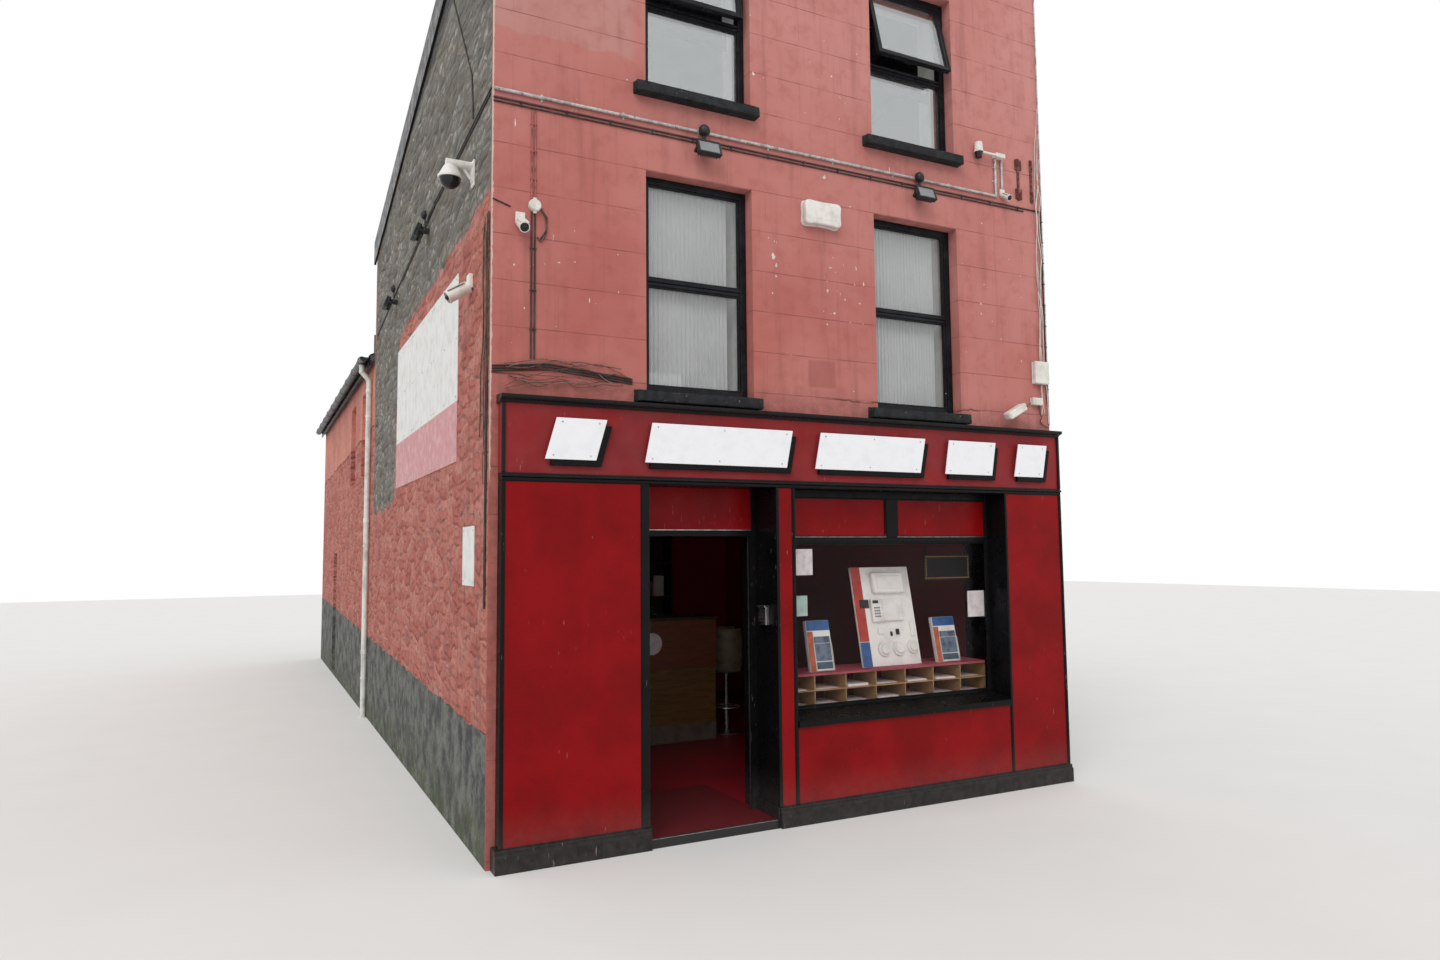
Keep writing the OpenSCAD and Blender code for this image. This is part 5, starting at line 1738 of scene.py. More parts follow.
@dataclass
class GablePlates(Assembly):
    """Bare faded sheets on the gable: three tall ones over a red band, and a small white notice."""

    start: float = 1.08
    length: float = 3.25
    count: int = 3
    low: float = 2.79
    seam: float = 3.27
    high: float = 4.29
    thick: float = 0.006
    notice_y: Pair = (0.42, 0.8)
    notice_z: Pair = (1.84, 2.27)

    def screw(self, y: float, z: float, proud: float, radius: float) -> Piece:
        """Domed screw on a sheet."""
        face = -self.thick
        return rod((face - proud, y, z), (face + 0.001, y, z), radius, 10, radius + 0.001)

    def build(self) -> None:
        """Build the sheets with their screws."""
        white, red, screws = [], [], []
        step = self.length / self.count
        for index in range(self.count):
            y0 = self.start + index * step + 0.001
            y1 = y0 + step - 0.002
            white.append(slab((-self.thick, y0, self.seam), (0, y1, self.high), 0.001))
            red.append(slab((-self.thick, y0, self.low), (0, y1, self.seam - 0.001), 0.001))
            for y in (y0 + 0.05, (y0 + y1) / 2, y1 - 0.05):
                for z in (self.low + 0.04, self.seam + 0.04, (self.seam + self.high) / 2, self.high - 0.04):
                    screws.append(self.screw(y, z, 0.003, 0.009))
        (y0, y1), (z0, z1), inset = self.notice_y, self.notice_z, 0.03
        white.append(slab((-self.thick, y0, z0), (0, y1, z1), 0.001))
        spots = product((y0 + inset, y1 - inset), (z0 + inset, z1 - inset))
        screws += [self.screw(y, z, 0.002, 0.007) for y, z in spots]
        self.put("gable_sheets", "plate", *white, node="gable_plates")
        self.put("gable_red_band", "plate_red", *red)
        self.put("gable_sheet_screws", "steel", *screws)


@dataclass
class ShopWindow(Assembly):
    """Black frame of the shop window with its beads, and the plain notices stuck inside the glass."""

    x: Pair = (2.353, 4.515)
    y: Pair = (0.1, 0.16)
    z: Pair = (0.815, 2.565)
    side: float = 0.045
    rail: float = 2.135
    panel_z: Pair = (2.18, 2.505)
    panel_w: float = 0.9785
    post_w: float = 0.115
    card_y: Pair = (0.1402, 0.1412)

    def joinery(self) -> None:
        """Stiles, rails, post and beads."""
        (x0, x1), (y0, y1), (z0, z1), (low, high) = self.x, self.y, self.z, self.panel_z
        left, right = x0 + self.side, x1 - self.side
        post = left + self.panel_w
        post_end = post + self.post_w
        parts = [
            slab((x0, y0, z0), (left, y1, z1), 0.004), slab((right, y0, z0), (x1, y1, z1), 0.004),
            slab((left, y0, z0), (right, y1, z0 + 0.02), 0.003),
            slab((left, y0, self.rail), (right, y1, low), 0.004),
            slab((left, y0, high), (right, y1, z1), 0.004),
            slab((post, y0, low), (post_end, y1, high), 0.004),
            ring((left, y0 + 0.006, z0 + 0.02), (right, y0 + 0.019, self.rail), 0.014, 0.004),
        ]
        for start in (left, post_end):
            parts.append(
                ring((start, y0 + 0.004, low), (start + self.panel_w, y0 + 0.016, high), 0.012, 0.004)
            )
        self.put("shop_window_joinery", "black", *parts, node="shop_window_frame")

    def build(self) -> None:
        """Build the frame, and bare white and mint cards on the inner side of the glass."""
        self.joinery()
        y0, y1 = self.card_y
        white = [
            slab((2.5, y0, 1.875), (2.657, y1, 2.086), 0), slab((4.274, y0, 1.475), (4.466, y1, 1.704), 0)
        ]
        self.put("white_notices", "white_paper", *white)
        self.put("mint_notice", "mint_paper", slab((2.495, y0, 1.548), (2.602, y1, 1.711), 0))


@dataclass
class WindowDisplay(Assembly):
    """Leaning demonstration board, two leaflet stands and a hung dotted sign, all without print."""

    shelf: float = 1.081
    front: float = 0.282
    board_x: float = 3.2395
    board_w: float = 0.62
    board_h: float = 0.86
    lean: float = 12.0
    key_rows: Run = (0.49, -0.025, 4)
    key_columns: Run = (0.175, 0.022, 3)
    stands: Pair = (2.6995, 4.0195)
    sign_x: Pair = (3.915, 4.435)
    sign_z: Pair = (1.8, 2.03)
    hook_z: float = 2.5647
    hole_rows: Run = (0.824, 0.124, 2)
    hole_columns: Run = (2.3735, 0.303, 7)

    def place(self, x: float, y: float) -> Matrix:
        """Place of something that leans back, drawn upright with its front at y = 0."""
        return at(x, y, self.shelf, -self.lean, "X")

    def disc(self, u: float, v: float, radius: float) -> Piece:
        """Domed round detector on the upright board.

        Args:
            u: Middle along the board.
            v: Middle up the board.
            radius: Radius of its foot.

        Returns:
            The new piece.
        """
        body = rod((u, 0, v), (u, -0.024, v), radius, 28, radius * 0.96)
        cap = rod((u, -0.024, v), (u, -0.04, v), radius * 0.8, 28, radius * 0.62)
        return joined([bevelled(body, 0.004), bevelled(cap, 0.003)])

    def board(self) -> None:
        """White board with its red and blue edge strips and its bare devices."""
        place = self.place(self.board_x, self.front)
        w, h = self.board_w, self.board_h
        strut = slab((w / 2 - 0.01, 0.02, 0), (w / 2 + 0.01, 0.03, h * 0.97), 0)
        parts = [
            joined([slab((0, 0, 0), (w, 0.02, h), 0.002), strut]),
            slab((0.19, -0.045, 0.62), (0.53, 0.002, 0.81), 0.04, 5),
            slab((0.23, -0.052, 0.655), (0.49, -0.03, 0.775), 0.03, 5),
            slab((0.15, -0.035, 0.375), (0.265, 0.002, 0.575), 0.008, 3),
            slab((0.27, -0.03, 0.38), (0.485, 0.002, 0.57), 0.01, 3),
            slab((0.545, -0.02, 0.24), (0.58, 0.002, 0.37), 0.006),
            slab((0.2, -0.018, 0.27), (0.26, 0.002, 0.33), 0.008),
            self.disc(0.235, 0.14, 0.062), self.disc(0.39, 0.14, 0.062), self.disc(0.545, 0.15, 0.06),
        ]
        self.put("demonstration_board", "white_laminate", moved(joined(parts), place), node="window_display")
        red = slab((0.002, -0.0025, 0.215), (0.1, 0.001, h - 0.002), 0.001)
        self.put("board_red_strip", "red_card", moved(red, place))
        blue = slab((0.002, -0.0025, 0.002), (0.1, 0.001, 0.21), 0.001)
        self.put("board_blue_strip", "blue_card", moved(blue, place))
        dark = [
            slab((0.165, -0.0375, 0.535), (0.225, -0.034, 0.562), 0.001),
            slab((0.05, -0.006, 0.5), (0.145, 0, 0.575), 0.003),
            slab((0.39, -0.02, 0.26), (0.42, 0.001, 0.31), 0.006),
            slab((0.33, -0.012, 0.25), (0.35, 0.001, 0.29), 0.004),
        ]
        for v, u in product(spaced(*self.key_rows), spaced(*self.key_columns)):
            dark.append(slab((u, -0.037, v), (u + 0.014, -0.034, v + 0.014), 0.001, 1))
        self.put("board_dark_parts", "lamp", moved(joined(dark), place))

    def stand(self, index: int) -> None:
        """Stand of bare leaflets: blue head, plain picture field, pale foot and an orange-red side.

        Args:
            index: 0 for the left stand, 1 for the right one.
        """
        w, h = (0.23, 0.42) if index == 0 else (0.25, 0.4)
        place = self.place(self.stands[index], self.front - 0.03)
        body = moved(slab((0, 0, 0), (w, 0.04, h), 0.003), place)
        self.put(f"leaflet_stand_{index}", "white_laminate", body)
        pocket = moved(ring((0.05, -0.01, 0.004), (w, 0.001, h * 0.55), 0.004, 0.001), place)
        self.put(f"leaflet_pocket_{index}", "white_upvc", pocket, slot="white_board")
        cards = (
            ("side", "orange_card", (0.002, -0.004, 0.004), (0.058, 0, h * 0.78)),
            ("head", "blue_card", (0.004, -0.004, h * 0.8), (w - 0.003, 0, h - 0.002)),
            ("picture", "grey_card", (0.064, -0.004, h * 0.2), (w - 0.012, 0, h * 0.68)),
            ("foot", "slate_card", (0.064, -0.004, 0.02), (w - 0.012, 0, h * 0.18)),
        )
        for name, finish, low, high in cards:
            self.put(f"leaflet_{name}_{index}", finish, moved(slab(low, high, 0.001, 1), place))

    def hung_sign(self) -> None:
        """Dark hung sign with a border of small amber lamps and nothing inside it."""
        (x0, x1), (z0, z1), y = self.sign_x, self.sign_z, self.front
        parts = [slab((x0, y, z0), (x1, y + 0.02, z1), 0.006, 3)]
        parts += [rod((x, y + 0.01, z1), (x, y + 0.01, self.hook_z), 0.003, 8) for x in (x0 + 0.03, x1 - 0.03)]
        self.put("hung_sign", "backing", *parts, slot="lamp_black")
        inset, gap = 0.02, 0.026
        left, low, width, height = x0 + inset, z0 + inset, x1 - x0 - 2 * inset, z1 - z0 - 2 * inset
        across, up = round(width / gap), round(height / gap)
        spots = [(left + width * i / across, z) for i in range(across + 1) for z in (low, z1 - inset)]
        spots += [(x, low + height * i / up) for i in range(1, up) for x in (left, x1 - inset)]
        self.put("sign_lamps", "amber_card", *(ball((x, y - 0.001, z), 0.006, 4) for x, z in spots))

    def papers(self) -> None:
        """Piles of bare white sheets in the pigeonholes."""
        piles = []
        for z, left in product(spaced(*self.hole_rows), spaced(*self.hole_columns)):
            thick = random.choice((0.004, 0.008, 0.014, 0.02))
            x = left + 0.03 + random.uniform(0, 0.02)
            y = 0.182 + random.uniform(0, 0.03)
            turn = math.degrees(random.uniform(-0.06, 0.06))
            pile = slab((0, 0, 0), (0.21, 0.28, thick), 0.001, 1)
            piles.append(moved(pile, at(x, y, z + 0.0003, turn)))
        self.put("paper_piles", "white_paper", *piles)

    def build(self) -> None:
        """Build the window display."""
        self.board()
        self.stand(0)
        self.stand(1)
        self.hung_sign()
        self.papers()


@dataclass
class ShopInside(Assembly):
    """Counter, stool and the goods on the dark shelves, as far as the doorway and window show them."""

    counter_x: Pair = (1.45, 3.15)
    counter_y: Pair = (2.87, 3.47)
    counter_z: Point = (0.06, 0.84, 1.38)
    disc: Point = (2.39, 1.112, 0.115)
    stool: Pair = (3.43, 3.2)
    tub_sweep: float = 280.0
    seat_z: Pair = (0.8, 0.875)
    seat_radius: float = 0.162
    foot_rest_z: float = 0.34
    shelf_x: Pair = (2.2, 3.9)
    shelf_y: float = 5.72
    shelf_levels: int = 5
    shelf_z: Pair = (0.06, 2.4)
    shelf_board: float = 0.022

    def counter(self) -> None:
        """Counter with a proud upper panel, a lower cabinet on a pale kick strip and a rounded top."""
        (x0, x1), (y0, y1), (z0, z1, z2) = self.counter_x, self.counter_y, self.counter_z
        under, middle = z2 - 0.03, (x0 + x1) / 2
        self.put("counter_upper", "counter", slab((x0, y0, z1), (x1, y1, under), 0.003), node="counter")
        lower = [
            slab((a + 0.001, y0 + 0.025, z0), (b - 0.001, y1, z1), 0.003)
            for a, b in ((x0, middle), (middle, x1))
        ]
        self.put("counter_lower", "counter_low", *lower)
        top = slab((x0 - 0.02, y0 - 0.02, under), (x1 + 0.02, y1, z2), 0.006, 3)
        self.put("counter_top", "dark_board", top)
        self.put(
            "counter_kick_strip", "kick",
            slab((x0, y0 + 0.021, z0 + 0.01), (x1, y0 + 0.0255, z0 + 0.19), 0.001),
        )
        x, z, radius = self.disc
        disc = bevelled(rod((x, y0 - 0.003, z), (x, y0 + 0.001, z), radius, 48), 0.001)
        self.put("counter_bare_disc", "white_paper", disc)

    def tub(self) -> Piece:
        """Padded shell of the stool, open at the front.

        Returns:
            The new piece.
        """
        outline = [
            (0.045, 0.72), (0.13, 0.722), (0.18, 0.74), (0.197, 0.79), (0.2, 0.95), (0.2, 1.16),
            (0.196, 1.205), (0.188, 1.219), (0.178, 1.212), (0.172, 1.18), (0.17, 1.0), (0.168, 0.84),
            (0.16, 0.82), (0.045, 0.818),
        ]
        bpy.ops.mesh.primitive_circle_add(vertices=len(outline), fill_type="NOTHING")
        shell = bpy.context.object
        for vertex, (r, z) in zip(shell.data.vertices, outline):
            vertex.co = (r, 0, z)
        only(moved(shell, at(0, 0, 0, -50)))
        bpy.ops.object.mode_set(mode="EDIT")
        bpy.ops.mesh.select_all(action="SELECT")
        bpy.ops.mesh.edge_face_add()
        bpy.ops.mesh.spin(steps=40, angle=math.radians(self.tub_sweep), center=(0, 0, 0), axis=(0, 0, 1))
        face_out()
        return smooth(bevelled(moved(shell, at(*self.stool, 0)), 0.006, 2))

    def seating(self) -> None:
        """Tub stool: its padded shell, a soft seat, a column, a foot rest and a round foot."""
        self.put("stool_tub", "cream", self.tub(), node="bar_stool")
        (x, y), (low, high), rest = self.stool, self.seat_z, self.foot_rest_z
        seat = bevelled(
            rod((x, y, low), (x, y, high), self.seat_radius, 48, self.seat_radius - 0.007), 0.028, 5
        )
        apply_modifier(seat, "SUBSURF", levels=1, render_levels=1)
        self.put("stool_seat", "cream", seat)
        steel = [
            bevelled(rod((x, y, 0.06), (x, y, 0.072), 0.2, 48, 0.19), 0.003),
            rod((x, y, 0.072), (x, y, 0.085), 0.16, 48, 0.04),
            rod((x, y, 0.08), (x, y, 0.45), 0.032, 24), rod((x, y, 0.45), (x, y, 0.725), 0.022, 24),
        ]
        sides = {"major_segments": 40, "minor_segments": 10}
        bpy.ops.mesh.primitive_torus_add(location=(x, y, rest), major_radius=0.15, minor_radius=0.011, **sides)
        steel += [settle(bpy.context.object), rod((x - 0.15, y, rest), (x + 0.15, y, rest), 0.008, 12)]
        self.put("stool_column", "steel", *steel)

    def goods(self) -> None:
        """Plain boxes and files on the shelves, in a few dull tones."""
        x0, x1 = self.shelf_x
        back = self.shelf_y + 0.265
        (low, high), board = self.shelf_z, self.shelf_board
        pitch = (high - low - board) / self.shelf_levels
        tones = ("dark_board", "oak", "white_laminate", "red_card", "slate_card")
        rows: list[list[Piece]] = [[] for _ in tones]
        for level in range(self.shelf_levels):
            x, z = x0 + 0.04, low + board + level * pitch
            while x < x1 - 0.2:
                w = random.choice((0.05, 0.07, 0.07, 0.16, 0.22))
                h, d = random.uniform(0.2, 0.36), random.uniform(0.2, 0.25)
                tone = random.choices(range(len(tones)), (5, 2, 1, 1, 4))[0]
                rows[tone].append(slab((x, back - d, z), (x + w - 0.004, back, z + h), 0.003, 1))
                x += w + random.choice((0.0, 0.0, 0.01, 0.06))
        for index, (finish, parts) in enumerate(zip(tones, rows)):
            self.put(f"shelf_goods_{index}", finish, *parts, slot="dark_board")

    def build(self) -> None:
        """Build the inside of the shop."""
        self.counter()
        self.seating()
        self.goods()


@dataclass
class Doors(Assembly):
    """Leaves of the two doors, with the metal strips and seals of their frames."""

    shop_x: float = 1.128
    shop_y: float = 0.235
    jamb: float = 0.04
    leaf_w: float = 0.956
    leaf_z: Pair = (0.07, 2.184)
    stile: float = 0.115
    bottom: float = 0.64
    faces: Pair = (-0.052, -0.008)
    right_jamb: float = 2.14
    side_place: Pair = (0.12, 12.0)
    side_opening: float = 0.62

    def shop_leaf(self) -> None:
        """Half glazed leaf: stiles and rails, beads on both sides, a raised lower panel and a kick plate."""
        place = at(self.shop_x + self.jamb + 0.002, self.shop_y + 0.07 + 0.008, 0, 90)
        x0, x1 = 0.006, 0.006 + self.leaf_w
        (z0, z1), (y0, y1) = self.leaf_z, self.faces
        left, right, low, high = x0 + self.stile, x1 - self.stile, z0 + self.bottom, z1 - self.stile
        rail, foot = low - 0.115, z0 + 0.2
        parts = [
            slab((x0, y0, z0), (left, y1, z1), 0.003), slab((right, y0, z0), (x1, y1, z1), 0.003),
            slab((left, y0, high), (right, y1, z1), 0.003), slab((left, y0, rail), (right, y1, low), 0.003),
            slab((left, y0, z0), (right, y1, foot), 0.003),
            slab((left, y0 + 0.014, foot), (right, y1 - 0.014, rail), 0.002),
            slab((left + 0.05, y0 + 0.004, foot + 0.05), (right - 0.05, y1 - 0.004, rail - 0.05), 0.008, 3),
        ]
        for near, far in ((y0 + 0.001, y0 + 0.012), (y1 - 0.012, y1 - 0.001)):
            parts.append(ring((left, near, low), (right, far, high), 0.014, 0.004))
            parts.append(ring((left, near, foot), (right, far, rail), 0.014, 0.004))
        self.put("shop_door_leaf", "leaf", moved(joined(parts), place), node="door_leaf", body=SHOP_DOOR)
        plate = slab((x0 + 0.02, y0 - 0.0012, z0 + 0.015), (x1 - 0.02, y0 + 0.001, z0 + 0.17), 0.0005, 1)
        self.put("shop_door_kick_plate", "steel", moved(plate, place), body=SHOP_DOOR)

    def side_leaf(self) -> None:
        """Weather board at the foot of the boarded side door."""
        z0 = self.leaf_z[0]
        outline = [(-0.0515, z0 + 0.02), (-0.078, z0 + 0.022), (-0.078, z0 + 0.032), (-0.0515, z0 + 0.075)]
        board = bevelled(profile(outline, Axis.X, 0.03, self.side_opening - 0.096 - 0.015), 0.002)
        place = at(*self.side_place, 0, -90) @ at(self.jamb + 0.002, 0.078, 0)
        self.put("side_door_weather_board", "leaf", moved(board, place), body=SIDE_DOOR)

    def strips(self) -> None:
        """Pale metal strip with its keep on the right jamb, and the black seal round the frame."""
        x, y = self.right_jamb, self.shop_y
        keeps = [
            slab((x - 0.0025, y + 0.05, 0.062), (x + 0.0005, y + 0.068, 2.14), 0.0008, 1),
            slab((x - 0.0035, y + 0.03, 0.84), (x + 0.0005, y + 0.066, 1.06), 0.001, 1),
            slab((1.14, -0.1, 0.058), (2.168, -0.07, 0.0625), 0.0015, 1),
        ]
        self.put("door_keep_strips", "steel", *keeps)
        seals = [slab((a, y + 0.02, 0.062), (a + 0.006, y + 0.026, 2.19), 0.001, 1) for a in (1.18, 2.122)]
        self.put("door_seals", "lamp", *seals)

    def build(self) -> None:
        """Build the doors."""
        self.shop_leaf()
        self.side_leaf()
        self.strips()


@dataclass
class Cameras(Assembly):
    """Ball camera and hooded cameras on the gable and the street wall."""

    ball_place: Point = (0.0, 0.575, 4.96)
    reach: float = 0.175
    radius: float = 0.08
    # Place, turn and barrel radius of each hooded camera
    bullets: Rows = ((0, 0.6, 4.08, -90, 0.045), (4.7, 0, 5.35, 0, 0.026), (0.196, 0, 4.4, 0, 0.034))
    corner_place: Point = (4.395, -0.05, 5.7)

    def ball_camera(self) -> tuple[Piece, Piece]:
        """Ball camera: bracket, arm, flared cap with its rim, and the dark lens ball.

        Returns:
            Its white parts and its dark ones.
        """
        r, y = self.radius, -self.reach
        arm, cap = 0.42 * r, 1.1 * r
        z = -0.8 * arm - cap
        white = [
            slab((-0.5 * r, -0.014, -1.9 * r), (0.5 * r, 0, 0.6 * r), 0.005, 3),
            slab((-0.36 * r, -0.3 * r, -1.5 * r), (0.36 * r, -0.012, 0.4 * r), 0.008, 3),
            rod((0, -0.2 * r, 0), (0, y - 0.4 * r, 0), arm, 24),
            rod((0, -0.3 * r, -1.2 * r), (0, -1.1 * r, -0.1 * r), 0.16 * r, 12),
            rod((0, y, z + 0.12 * r), (0, y, z + cap), 1.12 * r, 40, 0.6 * r),
            rod((0, y, z - 0.04 * r), (0, y, z + 0.16 * r), 1.14 * r, 40),
            rod((0, y, z + cap - 0.004), (0, y, z + cap + 0.012), 0.5 * r, 32),
        ]
        dark = ball((0, y, z - 0.02 * r), r * 0.985, 18)
        place = at(*self.ball_place, -90)
        return moved(joined(white), place), moved(dark, place)

    def bullet(self, place: Matrix, r: float) -> tuple[Piece, Piece]:
        """Hooded camera: base box, ball joint, barrel, hood and dark lens.

        Args:
            place: Its place, drawn facing the street with the wall at y = 0.
            r: Radius of the barrel.

        Returns:
            Its white parts and its dark ones.
        """
        a, b = Vector((0, -0.6 * r, -0.8 * r)), Vector((0, -3.2 * r, -2.4 * r))
        along, side = (b - a).normalized(), Vector((1, 0, 0))
        up, tip = side.cross(along), b + along * 0.9 * r
        turn = Matrix((side, -along, -up if up.z < 0 else up)).transposed().to_4x4()
        hood = slab((-0.98 * r, -1.75 * r, 0.86 * r), (0.98 * r, 1.5 * r, 1.02 * r), 0.12 * r, 3)
        hood = moved(hood, Matrix.Translation((a + b) / 2 + along * 0.3 * r) @ turn)
        white = [
            slab((-r, -0.75 * r, -r), (r, 0, 1.4 * r), 0.16 * r, 3), rod(a - along * 0.1 * r, tip, r, 28),
            rod(tip - along * 0.25 * r, tip + along * 0.06 * r, 1.1 * r, 28), hood,
        ]
        dark = [rod(tip, tip + along * 0.08 * r, 0.92 * r, 28), ball(tip + along * 0.02 * r, 0.4 * r, 10)]
        return moved(joined(white), place), moved(joined(dark), place)

    def corner_camera(self) -> tuple[Piece, Piece]:
        """Round camera at the end of an arm from a flat box, near the right hand corner.

        Returns:
            Its white parts and its dark one.
        """
        x, y, z = self.corner_place
        white = [
            slab((4.6, -0.06, z - 0.035), (4.71, 0, z + 0.005), 0.006, 3),
            slab((4.4, -0.06, z - 0.03), (4.6, -0.042, z - 0.01), 0.004),
            rod((x, y, z - 0.02), (x, y, z + 0.06), 0.04, 28, 0.034),
            rod((x, y, z - 0.03), (x, y, z - 0.018), 0.043, 28),
        ]
        return joined(white), rod((x, y, z - 0.08), (x, y, z - 0.03), 0.03, 28, 0.037)

    def build(self) -> None:
        """Build all cameras."""
        pairs = [self.ball_camera(), *(self.bullet(at(*place), radius) for *place, radius in self.bullets)]
        housings, lenses = zip(*pairs, self.corner_camera())
        self.put("camera_housings", "casing", *housings, node="cameras")
        self.put("camera_lenses", "dark_glass", *lenses)


@dataclass
class Floodlights(Assembly):
    """Black cast floodlights under round sensors, tilted towards the ground."""

    # Place and turn of each lamp
    places: Rows = (
        (1.6235, 0, 5.31, 0), (3.7145, 0, 5.31, 0), (0, 2.5, 5.225, -90), (0, 4.5, 5.045, -90),
    )
    drop: float = 0.17
    width: float = 0.195
    fins: int = 9
    tilt: float = -20.0

    def lamp(self) -> tuple[Piece, Piece]:
        """One lamp: wall box, stem, domed sensor, yoke, finned casting and its glass.

        Returns:
            The casting with its sensor, and the glass.
        """
        d, w = self.drop, self.width / 2
        flatten = at(0, -0.05, 0) @ Matrix.Diagonal((1, 0.72, 1, 1)) @ at(0, 0.05, 0)
        body = [
            slab((-0.03, -0.045, -d), (0.03, 0, 0.045 - d), 0.005, 3),
            slab((-0.012, -0.045, -d), (0.012, -0.033, 0.04), 0.003),
            rod((0, -0.033, 0.005), (0, -0.05, 0.005), 0.046, 32),
            slab((-0.012, -0.09, 0.005 - d), (0.012, -0.04, 0.02 - d), 0.003),
            moved(ball((0, -0.05, 0.005), 0.04, 12), flatten),
        ]
        head = [
            slab((-w, -0.012, -0.062), (w, 0.018, 0.062), 0.008, 3),
            ring((-w, -0.03, -0.062), (w, -0.01, 0.062), 0.014, 0.004),
        ]
        for index in range(self.fins):
            x = -w + 0.02 + index * (2 * w - 0.04) / (self.fins - 1)
            head.append(slab((x - 0.002, 0.016, -0.048), (x + 0.002, 0.045, 0.048), 0.001, 1))
        head += [slab((x - 0.003, -0.008, -0.012), (x + 0.003, 0.05, 0.012), 0.001, 1) for x in (-w, w)]
        head.append(slab((-w, 0.044, -0.012), (w, 0.05, 0.012), 0.001, 1))
        glass = slab((-w + 0.012, -0.024, -0.05), (w - 0.012, -0.014, 0.05), 0.002)
        place = at(0, -0.11, -d, self.tilt, "X")
        return joined(body + [moved(joined(head), place)]), moved(glass, place)

    def build(self) -> None:
        """Build one lamp and copy it to its places."""
        first, glass = self.lamp()
        pairs = [(copied(first, at(*place)), copied(glass, at(*place))) for place in self.places]
        bpy.data.objects.remove(first)
        bpy.data.objects.remove(glass)
        castings, panes = zip(*pairs)
        self.put("floodlight_castings", "lamp", *castings, node="floodlights")
        self.put("floodlight_glasses", "lamp_glass", *panes)


